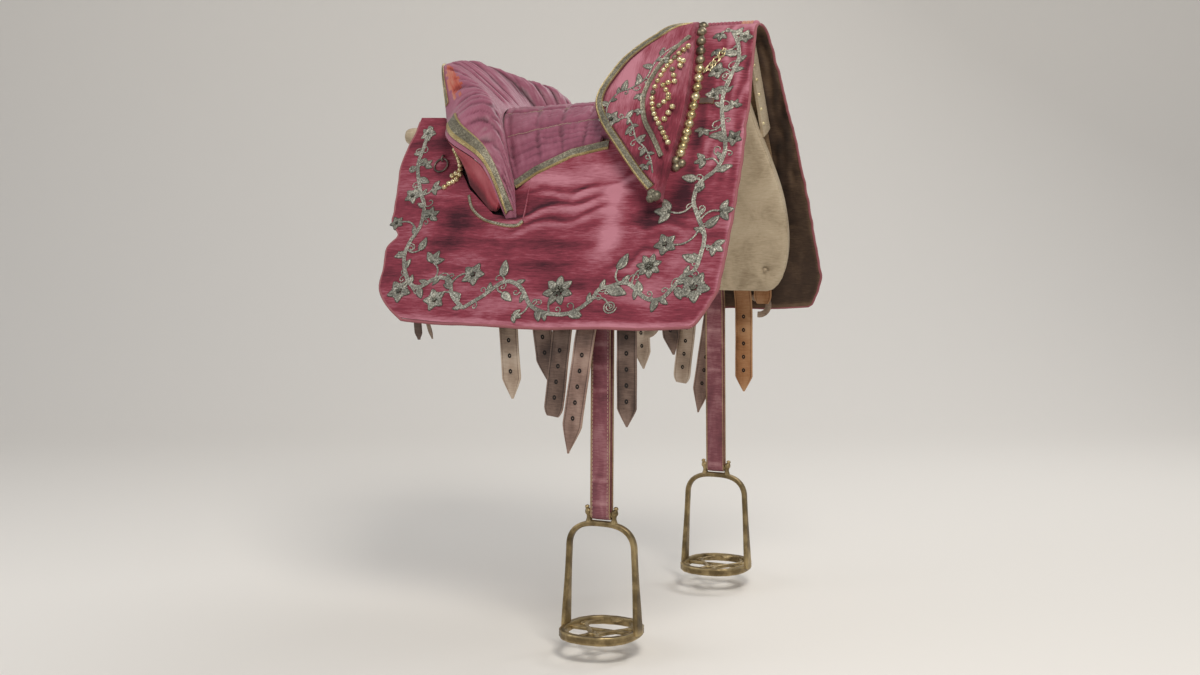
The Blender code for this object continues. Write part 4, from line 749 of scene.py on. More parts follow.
def cantle_depth(q, w):
    """How deep the pleats lie below the roll's plain surface."""
    slant = math.copysign(0.17 * w * ease((abs(q) - 0.1) / 0.3), q)
    bend = q + 0.012 * ripple(q * 9, w * 3, 3.0) - slant
    phase = math.pi * CANTLE_RIBS / 2 * (bend + 1)
    near = 0.5 * ease((abs(q) - 0.12) / 0.2) if q < 0 else 0.0
    rib = (1 - near) * abs(math.sin(phase)) ** 0.5 + near * abs(math.sin(phase * 2 + 0.6)) ** 0.5 - 1.0
    tuck = 0.0010 * math.sin(phase * 3 + 4 * ripple(q * 12, w * 5, 2.0)) * ease(w * 2)
    wrinkle = 0.0011 * ripple(q * 70, w * 6, 5.0)
    fade = ease((w - 0.02) / 0.20) * ease((1 - w) / 0.08) * ease((1 - abs(q)) / 0.08)
    return (0.0042 * rib + tuck * 0.6 + wrinkle) * fade


def cantle_under(q, w):
    """The roll's under face."""
    rim, crest, base = cantle_edges(q)
    down = ((rim + base) / 2 - crest).normalized() * 0.006
    return rim.lerp(base, w) + down * (1 - 0.75 * w)


def cantle_foot(q):
    """Where the cantle's board goes down into the velvet."""
    side = math.copysign(1.0, q)
    if abs(q) < BOARD_TOP_END:
        return mirrored(BOARD_TOP, q / BOARD_TOP_END)
    share = (abs(q) - BOARD_TOP_END) / (1 - BOARD_TOP_END)
    x = float(along([(v, 0.0) for v in BOARD_FOOT_X], share)[0])
    low = skin(x, slit_line(x) - 0.006, 0.0012, side)
    return mirrored(BOARD_TOP, side).lerp(low, ease(share * 9))


def braid_strip(piece, rows, normals, thick, kinds=(0, 1)):
    """A woven braid with a raised gold edge along both sides, over rows of places across it."""
    wide = len(rows[0]) - 1
    outer = []
    for row, normal_row in zip(rows, normals):
        top = []
        for k, (spot, normal) in enumerate(zip(row, normal_row)):
            at = k / wide
            rim = 1.0 if 0.04 < at < 0.96 else 0.35
            ridge = 0.35 * math.exp(-((min(at, 1 - at) - 0.12) / 0.06) ** 2)
            top.append(spot + normal * thick * (rim + ridge))
        outer.append(top)
    start = len(piece.faces)
    piece.slab(outer, rows, (kinds[0], kinds[0], kinds[1]))
    for i in range(len(rows) - 1):
        for j in range(wide):
            if j < wide * 0.16 or j >= wide * 0.84:
                piece.kinds[start + i * wide + j] = kinds[1]


def make_cantle_roll():
    """The ribbed roll with its worn corner."""
    qs = [2 * t - 1 for t in steps(CANTLE_RIBS * 14)]
    ws = steps(26)
    rows = []
    for q in qs:
        row = []
        for w in ws:
            depth = cantle_depth(q, w)
            # Painted shade: the roll darkens in its pleats, the deeper the darker.
            row.append((cantle_arc(q, w) + cantle_normal(q, w) * depth, cantle_under(q, w),
                        (q * 0.3, w * 0.09), 0.08 + 165 * min(depth + 0.0008, 0.0)))
        rows.append(row)
    piece = Mesh()
    piece.layered(rows)
    wide = len(ws) - 1
    for k, q in enumerate(qs[:-1]):
        for j, w in enumerate(ws[:-1]):
            patch = math.hypot((q + 0.275) / 0.100, (w - 0.17) / 0.10)
            if patch < 1.0 + 0.55 * ripple(q * 40, w * 14, 7.0):
                piece.kinds[k * wide + j] = 1
    made = piece.build("cantle_ribs", [SATIN, WORN_RED])
    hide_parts("cantle_roll")


def make_cantle_board():
    """The crimson board that closes the roll behind and goes down into the velvet."""
    rows = []
    drop = Vector((0.0, 0.0, -0.0020))
    for q in [(2 * t - 1) * BOARD_REACH for t in steps(120)]:
        lean = min(abs(q) * 4, 1.0) * 0.7
        foot = cantle_foot(q)
        foot_in = foot + Vector((0.0028, -math.copysign(0.004, q) * lean, 0.004 * lean))
        share = 0.004 / (cantle_under(q, 1.0) - cantle_under(q, 0.0)).length
        top, top_in = cantle_under(q, 0.0) + drop, cantle_under(q, share) + drop
        row = []
        for k in steps(20):
            streak = 0.20 * math.exp(-((k - 0.3) / 0.15) ** 2) * math.sin(q * 30)
            # Painted shadow: the board darkens towards its foot, where it goes down into the slit.
            row.append((top.lerp(foot, k), top_in.lerp(foot_in, k), (k * 0.06, q * 0.3),
                        0.16 + streak - 0.62 * ease((k - 0.4) / 0.6)))
        rows.append(row)
    board = Mesh()
    board.layered(rows)
    made = board.build("cantle_back", [CRIMSON])
    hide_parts("cantle_board")


def make_cantle_braid():
    """The braid along the roll's rim: broad on both sides, a narrow remnant at the top."""
    braid = Mesh()
    for start, end in ((-0.997, -0.50), (-0.36, 0.36), (0.50, 0.997)):
        rows, normals = [], []
        for q in np.linspace(start, end, 90):
            arc = [cantle_arc(q, w) for w in (0, 0.5, 1)]
            length = (arc[1] - arc[0]).length + (arc[2] - arc[1]).length
            full = 1.0 if abs(q) > 0.4 else 0.10 + 0.26 * ease((abs(q) - 0.17) / 0.04)
            reach = min(BRAID_WIDTH * full / length, 0.90)
            spread = [0.006 + reach * k for k in steps(8)]
            normals.append([cantle_normal(q, w) for w in spread])
            rows.append([cantle_arc(q, w) + out * 0.0008 for w, out in zip(spread, normals[-1])])
        braid_strip(braid, rows, normals, 0.0017)
    made = braid.build("cantle_galloon", [GALLOON, GOLD_EDGE])
    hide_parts("cantle_braid")


# The pommel wings
WING_REAR = ((0.060, 0.314), (0.030, 0.284), (-0.008, 0.240), (-0.046, 0.192), (-0.060, 0.150),
             (-0.040, 0.100), (-0.006, 0.052), (0.030, 0.018), (0.054, 0.003))
WING_FRONT = ((0.068, 0.312), (0.067, 0.285), (0.069, 0.255), (0.072, 0.215), (0.074, 0.175),
              (0.073, 0.130), (0.069, 0.085), (0.064, 0.040), (0.058, 0.003))
INNER_BRAID = ((0.0650, 0.048), (0.0450, 0.086), (0.0280, 0.120), (0.0200, 0.156), (0.0290, 0.192),
               (0.0470, 0.220), (0.0665, 0.252))
FIELD_NAILS = ((0.0660, 0.070), (0.0500, 0.094), (0.0370, 0.118), (0.0300, 0.150), (0.0365, 0.180),
               (0.0520, 0.206), (0.0690, 0.232))
NAIL_LINE = ((0.0680, 0.006), (0.0765, 0.060), (0.0825, 0.110), (0.0835, 0.160), (0.0815, 0.205),
             (0.0785, 0.240))
REAR_NAILS = ((-0.2877, 0.221), (-0.2790, 0.233), (-0.2715, 0.246), (-0.2665, 0.264))
REAR_NAILS_LOW = ((-0.2700, 0.272), (-0.2750, 0.276), (-0.2810, 0.279), (-0.2870, 0.285), (-0.2735, 0.262),
                  (-0.2790, 0.266))
# Short rows of nails that hang from the small nails on the wing
PENDANTS = (((0.0600, 0.096), (0.0625, 0.106), (0.0655, 0.098)),
            ((0.0520, 0.112), (0.0560, 0.122), (0.0590, 0.132)),
            ((0.0430, 0.138), (0.0490, 0.146), (0.0540, 0.154), (0.0500, 0.134)),
            ((0.0440, 0.172), (0.0500, 0.166), (0.0550, 0.160)),
            ((0.0560, 0.194), (0.0600, 0.184), (0.0640, 0.174)))
BIG_NAILS = 16
FOOT_NAILS = ((0.0735, 0.246), (0.0835, 0.251), (0.0765, 0.257))
# The worn knob at the wing's lower tip: x, drop and radius of its lobes
WING_KNOB = ((0.0600, 0.3100, 0.0075), (0.0655, 0.3135, 0.0080), (0.0590, 0.3175, 0.0065))
PIPING_INSET = 0.0128
SLIT_BRAID = ((-0.244, 0.300), (-0.232, 0.322), (-0.208, 0.340), (-0.176, 0.350), (-0.150, 0.3515),
              (-0.139, 0.345))


def curve(points, count):
    """Places evenly spread along a smooth curve of (x, drop)."""
    return [tuple(along(points, t)) for t in steps(count)]


def skin_normal(x, drop, side):
    """The direction straight out of the skin."""
    if drop < ARC:
        return (skin(x, drop, 0.01, side) - skin(x, drop, 0.0, side)).normalized()
    return outward(side)


def wing_outline(a, b):
    """A place in the wing's outline: a from its lower tip to the ridge, b from rear to front."""
    rear = along(WING_REAR, a)
    front = along(WING_FRONT, a)
    return rear[0] + b * (front[0] - rear[0]), rear[1] + b * (front[1] - rear[1])


def wing_lift(drop, inset=1.0):
    """How proud of the skin the wing's face stands."""
    puff = 0.0006 * ripple(drop * 70, inset * 3, 4.0) * ease(inset * 8)
    return 0.0035 + 0.0205 * ease(drop / 0.100) + 0.003 * ease(inset * 5) + puff


def wing_place(x, drop, side, lift=0.0):
    """A place on the wing's face."""
    return skin(x, drop, 0.0041 + 0.0230 * ease(drop / 0.100) + lift, side)


def left_of(path, i):
    """The unit step to the left of a path of (x, drop) at one of its points."""
    before, after = path[max(i - 1, 0)], path[min(i + 1, len(path) - 1)]
    run = Vector((after[0] - before[0], after[1] - before[1])).normalized()
    return Vector((-run.y, run.x))


def strip_on(piece, path, width, place, side, thick=0.0016, across_count=8, kinds=(0, 1)):
    """A braid laid on a surface along a path of (x, drop), to the left of its run."""
    rows, normals = [], []
    for i, (x, drop) in enumerate(path):
        across = left_of(path, i) * width
        spots = [(x + across.x * k, max(drop + across.y * k, 0.003)) for k in steps(across_count)]
        rows.append([place(px, pd, side) for px, pd in spots])
        normals.append([skin_normal(px, pd, side) for px, pd in spots])
    braid_strip(piece, rows, normals, thick, kinds)


def make_wings(name):
    """One wing with its braids, piping and nails."""
    side = SIDES[name]
    aas = [0.8 * t for t in steps(70)] + [0.8 + 0.2 * t for t in steps(30)[1:]]
    bs = [0.0, 0.03] + [0.06 + 0.80 * t for t in steps(24)] + [0.89, 0.92, 0.95, 0.975, 1.0]
    rows = []
    for a in aas:
        row = []
        for b in bs:
            x, d = wing_outline(a, b)
            lift = wing_lift(d, min(b, 1 - b)) - 0.45 * wing_lift(d) * (1 - ease((1 - b) / 0.16)) ** 2
            wear_and_shade = 0.20 * math.exp(-((d - 0.10) / 0.07) ** 2) + 0.14 * math.exp(-((x + 0.02) / 0.03) ** 2)
            row.append((skin(x, d, lift, side), skin(x, d, 0.0010, side), (d, x * 1.3),
                        wear_and_shade + 0.10 * ripple(x * 50, d * 50, 6.0) - 0.05))
        rows.append(row)
    piece = Mesh()
    piece.layered(rows)
    made = piece.build("wing_" + name, [VELVET])
    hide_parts("pommel_wing_" + name)

    braid = Mesh()
    rim = [wing_outline(0.03 + 0.94 * t, 0.015) for t in steps(150)]
    strip_on(braid, rim, 0.0115, lambda x, d, s: skin(x, d, wing_lift(d, 0.02) + 0.0028 * ease(d * 30), s),
             side, 0.0018)
    for x, d, size in WING_KNOB:
        braid.dome(skin(x, d, wing_lift(d, 0.02) - 0.0010, side), outward(side), size, 0.0062, 18, 6)
    made = braid.build("wing_galloon_" + name, [GALLOON, GOLD_EDGE])
    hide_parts("wing_braid_" + name)
    piping = Mesh()
    inset = []
    for i, (x, d) in enumerate(rim):
        step = left_of(rim, i) * PIPING_INSET
        inset.append((x + step.x, max(d + step.y, 0.003)))
    piping.tube([wing_place(x, d, side, 0.0004) for x, d in inset], 0.0010, 6)
    piping.build("wing_piping_" + name, [DARK_CORD])

    braid = Mesh()
    strip_on(braid, curve(INNER_BRAID, 90), 0.0075, wing_place, side, 0.0014)
    made = braid.build("wing_inner_galloon_" + name, [GALLOON, GALLOON])
    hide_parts("wing_inner_braid_" + name)

    nails = Mesh()
    spots = curve(FIELD_NAILS, 20) + [spot for row in PENDANTS for spot in row]
    for i, (x, d) in enumerate(spots):
        nails.dome(wing_place(x, d, side), outward(side), 0.0042, 0.0050, 12, 4, 1 if i % 7 == 3 else 0)
    made = nails.build("wing_nailheads_" + name, [BRASS, DULL_BRASS], smooth=70)
    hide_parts("wing_nails_" + name)


def make_nails(name):
    """The row of big nails before a wing and the small ones behind the cantle."""
    side = SIDES[name]
    nails = Mesh()
    for i in range(BIG_NAILS):
        x, d = along(NAIL_LINE, (i + 0.5) / BIG_NAILS)
        nails.dome(velvet(x, d, side, 0.0008), skin_normal(x, d, side), 0.0074, 0.0066, 18, 6,
                   1 if i < 5 else 0)
    for x, d in FOOT_NAILS:
        nails.dome(velvet(x, d, side, 0.0008), outward(side), 0.0066, 0.0056, 18, 6, 1)
    tape = [(x - 0.0035, d) for x, d in curve(NAIL_LINE, 60)]
    strip_on(nails, tape, -0.007, velvet, side, 0.0008, 3, (2, 2))
    made = nails.build("big_nailheads_" + name, [BRASS, DULL_BRASS, GALLOON], smooth=70)
    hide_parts("front_nails_" + name)

    nails = Mesh()
    for x, d in curve(REAR_NAILS, 7) + list(REAR_NAILS_LOW):
        nails.dome(velvet(x, d, side, 0.0004), outward(side), 0.0044, 0.0046, 14, 5, 0)
    made = nails.build("rear_nailheads_" + name, [BRASS], smooth=70)
    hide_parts("rear_nails_" + name)


def make_pommel_pad():
    """The stuffed satin throat that rises between the wings."""
    rows = []
    for t in steps(120):
        s = (2 * t - 1) * 0.200
        side = math.copysign(1.0, s)
        nearest = min(steps(160), key=lambda a: abs(wing_outline(a, 0.0)[1] - abs(s)))
        edge = min(0.018, wing_outline(nearest, 0.0)[0] + 0.006)
        row = []
        for k in steps(40):
            x = 0.0296 - 0.0816 * k
            spot = skin(x, abs(s), -0.0004, side)
            slope = spot.z - 1.4 * max(edge - x, 0.0)
            floor = min(spot.z, 0.121)
            soft = math.sqrt((slope - floor) ** 2 + 0.006 ** 2)
            spot.z = min((slope + floor + soft) / 2, spot.z) - 0.0010 * abs(math.sin(s * 110))
            row.append((spot, Vector((x, spot.y * 0.94, min(0.085, spot.z - 0.006))), (x, s), 0.0))
        rows.append(row)
    piece = Mesh()
    piece.layered(rows)
    made = piece.build("pommel_throat", [SATIN])
    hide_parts("pommel_pad")


def make_seat_galloon(name):
    """The braid along the seat's edge and the one round the cantle's foot."""
    side = SIDES[name]
    braid = Mesh()
    path = [(x, seat_line(x) + 0.0158) for x in (-0.034 - t * 0.132 for t in steps(70))]
    strip_on(braid, path, 0.0150, velvet, side, 0.0017)
    strip_on(braid, curve(SLIT_BRAID, 50), -0.0045, velvet, side, 0.0014, 6)
    made = braid.build("seat_galloon_" + name, [GALLOON, GOLD_EDGE])
    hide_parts("seat_braid_" + name)


# The pads on the horse
PANEL_LIFT = -0.0286
PANEL_THICK = 0.030
TUFTS = ((0.104, 0.398), (-0.060, 0.400), (-0.210, 0.400))
ROLL_RADIUS = 0.0135
# Places along the rear roll and the share of its radius there
ROLL_SHAPE = ((0, 0.9), (0.15, 0.96), (0.3, 1.0), (0.45, 0.99), (0.6, 1.0), (0.75, 0.985), (0.85, 0.96),
              (0.92, 0.90), (0.965, 0.80), (0.99, 0.62), (1.0, 0.30))


def make_panel(name):
    """A stuffed suede pad with its seam and tufts, and the roll behind it."""
    side = SIDES[name]
    us = [0.5 - 0.5 * math.cos(math.pi * t) for t in steps(90)]
    vs = [0.5 - 0.5 * math.cos(math.pi * t) for t in steps(60)]
    rows = []
    for u in us:
        top = 0.250 - ease((0.103 - u * 0.466) / 0.035) * 0.165
        row = []
        for v in vs:
            drop = top + v * (0.440 - top)
            corner = 1 - math.sqrt(1 - (max(v - 0.62, 0.0) / 0.38) ** 2)
            front = 0.148 - 0.030 * (1 - ease(v / 0.6)) - 0.052 * corner
            x = front + u * (-0.318 + 0.052 * corner - front)
            rim = min(u, 1 - u, v, 1 - v)
            round_off = 0.013 * (1 - math.sqrt(max(1 - (1 - min(rim / 0.15, 1.0)) ** 2, 0.0)))
            dent = 0.0009 * ripple(x * 30, drop * 30, 12.0) * ease(rim * 9)
            for tx, td in TUFTS:
                away = math.hypot(x - tx, drop - td)
                dent += 0.0075 * math.exp(-(away / 0.0055) ** 2) + 0.0030 * math.exp(-(away / 0.017) ** 2)
            row.append((skin(x, drop, PANEL_LIFT - 0.35 * round_off, side),
                        skin(x, drop, PANEL_LIFT - PANEL_THICK + round_off + dent, side), (x, drop), 0.0))
        rows.append(row)
    piece = Mesh()
    _, inner = piece.layered(rows)
    made = piece.build("pad_" + name, [SUEDE], smooth=60)
    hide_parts("panel_" + name)
    trim = Mesh()
    edge = [row[0] for row in inner][::-1] + inner[0] + [row[-1] for row in inner] + inner[-1][::-1]
    trim.tube(edge[::3], 0.0013, 6, True)
    for tx, td in TUFTS:
        spot = skin(tx, td, PANEL_LIFT - PANEL_THICK + 0.0050, side)
        trim.dome(spot, -outward(side), 0.0032, 0.0016, 12, 3)
    trim.build("pad_trim_" + name, [SUEDE])
    roll = Mesh()
    start, end = (skin(x, 0.185, -(SKIN + 0.0004 + ROLL_RADIUS), side) for x in (-0.3224, -0.392))
    roll.tube([start.lerp(end, t) for t, _ in ROLL_SHAPE], [ROLL_RADIUS * k for _, k in ROLL_SHAPE], 28)
    made = roll.build("roll_" + name, [SUEDE])
    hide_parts("rear_roll_" + name)


# Straps, leathers and stirrups
LAYER_STEP = 0.0032
BAR_LIFT = -0.0130
ROD_LIFT = -0.0208
BILLET_THICK = 0.0026
STRAP_HALF = 0.0145
BILLET_TOP = 0.333
HEAD_LENGTH = 0.022
# How far a billet lies on the pad before it hangs free, and the share of the rest in which it turns
LYING = 0.107
TURN_SHARE = 0.35
HOLE_GAP = 0.0215
HOLE_RADIUS = 0.0034
HOLE_SIDES = 12
STITCH_STEP = 0.0052
BLUNT = (0.016, 0.60)
# Name, x of the top, slant, length, layer, length and share of the point, materials, row of holes
BILLETS = (
    ("rear", -0.150, 4, 0.262, 2, (0.028, 0.06), PALE_LEATHER, TAN_EDGE, 3),
    ("second", -0.110, 8, 0.236, 2, (0.030, 0.06), BROWN_LEATHER, BROWN_LEATHER, 2),
    ("third", -0.032, -7, 0.284, 1, BLUNT, BROWN_LEATHER, ORANGE_LEATHER, 4),
    ("fourth", 0.013, -9, 0.334, 0, (0.038, 0.04), MID_LEATHER, TAN_EDGE, 5),
    ("front", 0.043, 0, 0.291, 2, (0.024, 0.06), BROWN_LEATHER, BROWN_LEATHER, 5),
    ("short", 0.078, 0, 0.149, 1, BLUNT, ORANGE_LEATHER, ORANGE_LEATHER, 0),
)
# Billets of another leather on the left
LEFT_STRAPS = {"front": (ORANGE_LEATHER, ORANGE_LEATHER), "third": (PALE_LEATHER, PALE_LEATHER)}


def billet_line(top_x, slant, length, depth, side, run):
    """A place, across and facing direction at a run down a billet that hangs plumb below the bar."""
    turn = math.radians(slant)
    drift = math.tan(turn)
    spot = skin(top_x + min(run, LYING) * drift, BILLET_TOP + min(run, LYING), depth, side)
    if run <= LYING:
        across = (Vector((math.cos(turn), 0, 0)) - downward(side) * math.sin(turn)).normalized()
        return spot, across, outward(side)
    bend = (length - LYING) * TURN_SHARE
    left = run - LYING
    pieces = 40
    part = left / pieces
    for k in range(pieces):
        now = LEAN * max(1 - part * (k + 0.5) / bend, 0.0)
        spot = spot + Vector((drift * part, side * math.sin(now) * part, -math.cos(now) * part))
    now = LEAN * max(1 - left / bend, 0.0)
    heading = Vector((0, side * math.sin(now), -math.cos(now)))
    normal = Vector((0, side * math.cos(now), math.sin(now)))
    return spot, (Vector((1, 0, 0)) - heading * math.sin(turn)).normalized(), normal


def punched_hole(piece, spot, across, normal):
    """A dark dished rim on both faces of a strap: painted shade in place of a hole cut through."""
    down = normal.cross(across)
    for sign in (-1, 1):
        foot = spot + sign * normal * (BILLET_THICK / 2 + 0.0003)
        ids = []
        for q in range(HOLE_SIDES):
            turn = 2 * math.pi * q / HOLE_SIDES
            ray = 0.85 * math.cos(turn) * across + math.sin(turn) * down
            ids.append(piece.add(foot + HOLE_RADIUS * ray))
        middle = piece.add(foot - sign * normal * 0.0004)
        for q in range(HOLE_SIDES):
            pair = (ids[q], ids[(q + 1) % HOLE_SIDES])
            piece.face((*(pair if sign > 0 else pair[::-1]), middle), 2)


def make_billet(name, place_name, top_x, slant, length, layer, point, leather, edge, holes):
    """One girth strap with worn edges, punched holes and a cut point."""
    side = SIDES[place_name]
    depth = -(SKIN + 0.0006 + layer * LAYER_STEP) - BILLET_THICK / 2
    reach, tip = point
    power = 1.1 if tip < 0.3 else 2.4
    rows = []
    for t in steps(120):
        run = length * t
        spot, across, normal = billet_line(top_x, slant, length, depth, side, run)
        near = max((run - (length - reach)) / reach, 0.0)
        half = max(STRAP_HALF * (1 - (1 - tip) * near ** power), 0.0010)
        half *= 1 + 0.018 * ripple(run * 30, top_x * 40, 3.0)
        hang = ease((run - 0.16) / 0.05)
        fold = 0.20 * math.exp(-((run - 0.19 - 0.02 * math.sin(top_x * 70)) / 0.012) ** 2)
        row = []
        for w in (-1.0, -0.93, -0.85, -0.80, -0.75, -0.4, 0.0, 0.4, 0.75, 0.80, 0.85, 0.93, 1.0):
            curl = 0.0007 * hang * ripple(run * 26 + w, top_x * 50, 8.0) * (1 + abs(w))
            thick = normal * BILLET_THICK / 2 * {1.0: 0.6, 0.80: 0.84}.get(abs(w), 1.0)
            mid = spot + across * half * w + normal * curl
            wear_and_shade = 0.14 * (abs(w) > 0.9) - 0.30 * (abs(w) == 0.80) + fold
            wear_and_shade += 0.16 * ease((run - length + 0.03) / 0.03) + 0.12 * ripple(run * 22, w * 1.5, top_x * 30)
            row.append((mid + thick, mid - thick, (run, half * w), wear_and_shade))
        rows.append(row)
    piece = Mesh()
    piece.layered(rows, (0, 0, 1))
    across = Vector((STRAP_HALF, 0, 0))
    faces = []
    for lift in (depth + BILLET_THICK / 2, BAR_LIFT + 0.0004):
        ends = [skin(top_x, drop, lift, side) for drop in (BILLET_TOP - HEAD_LENGTH, BILLET_TOP + 0.0006)]
        faces.append([[spot - across, spot + across] for spot in ends])
    piece.slab(*faces)
    for k in range(holes):
        run = length - reach - 0.010 - HOLE_GAP * k
        spot, across, normal = billet_line(top_x, slant, length, depth, side, run)
        spot += normal * 0.0007 * ease((run - 0.16) / 0.05) * ripple(run * 26, top_x * 50, 8.0)
        punched_hole(piece, spot, across, normal)
    if place_name == "left":
        leather, edge = LEFT_STRAPS.get(name, (leather, edge))
    node = "billet_" + name + "_" + place_name
    made = piece.build("strap_" + name + "_" + place_name, [leather, edge, HOLE], node)
    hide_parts(node)


def leather_line(side):
    """The stirrup leather's middle line from the bar to the stirrup's eye."""
    rod = skin(0.0, 0.341, ROD_LIFT, side)
    bend = skin(0.0, 0.456, ROD_LIFT, side)
    eye = Vector((0.0, bend.y + side * 0.004, -0.457))
    first, last = rod.lerp(bend, 0.85), bend.lerp(eye, 0.08)
    line = [rod.lerp(first, t) for t in steps(16)]
    line += [first * (1 - t) ** 2 + bend * 2 * t * (1 - t) + last * t * t for t in steps(10)[1:]]
    return line + [last.lerp(eye, t) for t in steps(50)[1:]]


def leather_loop(side):
    """The doubled leather's path round the bar and the eye: places and the directions facing out."""
    line = leather_line(side)
    total = len(line)
    face, back = [], []
    for i, spot in enumerate(line):
        heading = (line[min(i + 1, total - 1)] - line[max(i - 1, 0)]).normalized()
        normal = Vector((0, -heading.z * side, heading.y * side))
        spread = 0.0046 - 0.0006 * i / (total - 1)
        face.append((spot + normal * spread, normal))
        back.insert(0, (spot - normal * spread, -normal))
        if i == 0:
            top = (spot - heading * 0.0032, spread, -normal, -heading)
    turns = []
    for centre, reach, start, onward in ((spot, spread, normal, heading), top):
        rays = [start * math.cos(math.pi * t) + onward * math.sin(math.pi * t) for t in steps(10)[1:-1]]
        turns.append([(centre + ray * reach, ray) for ray in rays])
    return face + turns[0] + back + turns[1], total - 1


def make_leather(place_name):
    """The doubled stirrup leather, with tan edges and stitching along both sides."""
    path, shown = leather_loop(SIDES[place_name])
    piece = Mesh()
    rings, flats, wear_and_shade_rows, run = [], [], [], 0.0
    half = ((0.005, 1.05), (0.0106, 1.0), (0.0112, 0.90), (0.0118, 1.0), (0.0136, 0.97), (0.0145, 0.75),
            (0.0145, 0.25), (0.0130, 0.0))
    section = [(-x, high) for x, high in half[6::-1]] + list(half) + [(-0.0130, 0.0)]
    for i, (spot, ray) in enumerate(path):
        after = path[(i + 1) % len(path)][0]
        crease = 0.0004 * math.exp(-(((run * 1000) % 31 - 15) / 2.0) ** 2)
        rings.append([spot + Vector((x, 0, 0)) + ray * (0.0028 * high - crease * (high > 0.9))
                      for x, high in section])
        flats.append([(run, x) for x, high in section])
        wear_and_shade_rows.append([0.10 * ripple(run * 40, x * 60, 2.0) + 0.16 * (abs(x) < 0.011 and crease > 0.0002)
                      for x, high in section])
        run += (after - spot).length
    ids = piece.grid(rings, 0, flats, wear_and_shade_rows, True, True)
    wide = len(section)
    for i in range(len(ids)):
        for j in (0, 1, 2, 11, 12, 13):
            piece.kinds[i * wide + j] = 1
    for x in (-0.0112, 0.0112):
        at = 0.0
        for i in range(shown):
            spot, ray = path[i]
            after = path[i + 1][0]
            size = (after - spot).length
            while at < size:
                start = spot.lerp(after, at / size) + Vector((x, 0, 0)) + ray * 0.00265
                end = start + (after - spot).normalized() * 0.0032
                piece.tube([start, end], 0.00042, 5, up=(1, 0, 0), kind=2)
                at += STITCH_STEP
            at -= size
    node = "stirrup_leather_" + place_name
    made = piece.build("leather_" + place_name, [RED_LEATHER, TAN_EDGE, STITCH], node)
    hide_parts(node)


STIRRUP_HALF = 0.054
STIRRUP_DROP = 0.157
SHOULDER = 0.036
ARCH_SHARE = 0.3
BRANCH_THICK = 0.0072
BRANCH_TOP, BRANCH_FOOT = 0.0098, 0.0210
TREAD_REACH = 0.054
# The tread's rim in section: out from its middle line and up
RIM_SECTION = ((-1, -0.7), (-0.8, -1), (0.7, -1), (1.0, -0.75), (0.92, -0.3), (1.0, 0.0), (0.92, 0.35),
               (1.0, 0.75), (0.7, 1.0), (0.2, 0.88), (-0.4, 0.88), (-0.8, 1), (-1, 0.7))


def stirrup_spot(t, top, foot, y):
    """A place on the stirrup's arch from rear foot to front foot, and how deep the branch is there."""
    narrow = STIRRUP_HALF * 0.90
    start = top - SHOULDER
    k = min(t, 1 - t) / ARCH_SHARE
    if k < 1:
        x = math.copysign(STIRRUP_HALF - (STIRRUP_HALF - narrow) * k, t - 0.5)
        depth = BRANCH_FOOT + (BRANCH_TOP - BRANCH_FOOT) * ease(k * 1.15)
        return Vector((x, y, foot + (start - foot) * k)), depth
    turn = math.pi * (t - ARCH_SHARE) / (1 - 2 * ARCH_SHARE)
    x = -narrow * math.copysign(abs(math.cos(turn)) ** 0.72, math.cos(turn))
    return Vector((x, y, start + SHOULDER * max(math.sin(turn), 0.0) ** 0.8)), BRANCH_TOP


def section_ring(centre, across, deep, thick, depth, points=20, power=0.45):
    """One ring of a bar with softly squared edges."""
    ring = []
    for k in range(points):
        turn = 2 * math.pi * k / points
        c, s = math.cos(turn), math.sin(turn)
        ring.append(centre + across * thick / 2 * math.copysign(abs(c) ** power, c)
                    + deep * depth / 2 * math.copysign(abs(s) ** power, s))
    return ring


def scroll_bar(piece, path, width, thick):
    """A level flat bar with a raised spine along a path, tapered at its ends."""
    rings = []
    total = len(path)
    for i, spot in enumerate(path):
        heading = (path[min(i + 1, total - 1)] - path[max(i - 1, 0)]).normalized()
        across = Vector((-heading.y, heading.x, 0))
        size = 0.55 + 0.45 * ease(min(i, total - 1 - i) / 5)
        rings.append(section_ring(spot, across, Vector((0, 0, 1)), width * size, thick, 12, 0.7))
    ids = piece.grid(rings, 0, None, None, False, True)
    piece.face(ids[0])
    piece.face(list(reversed(ids[-1])))


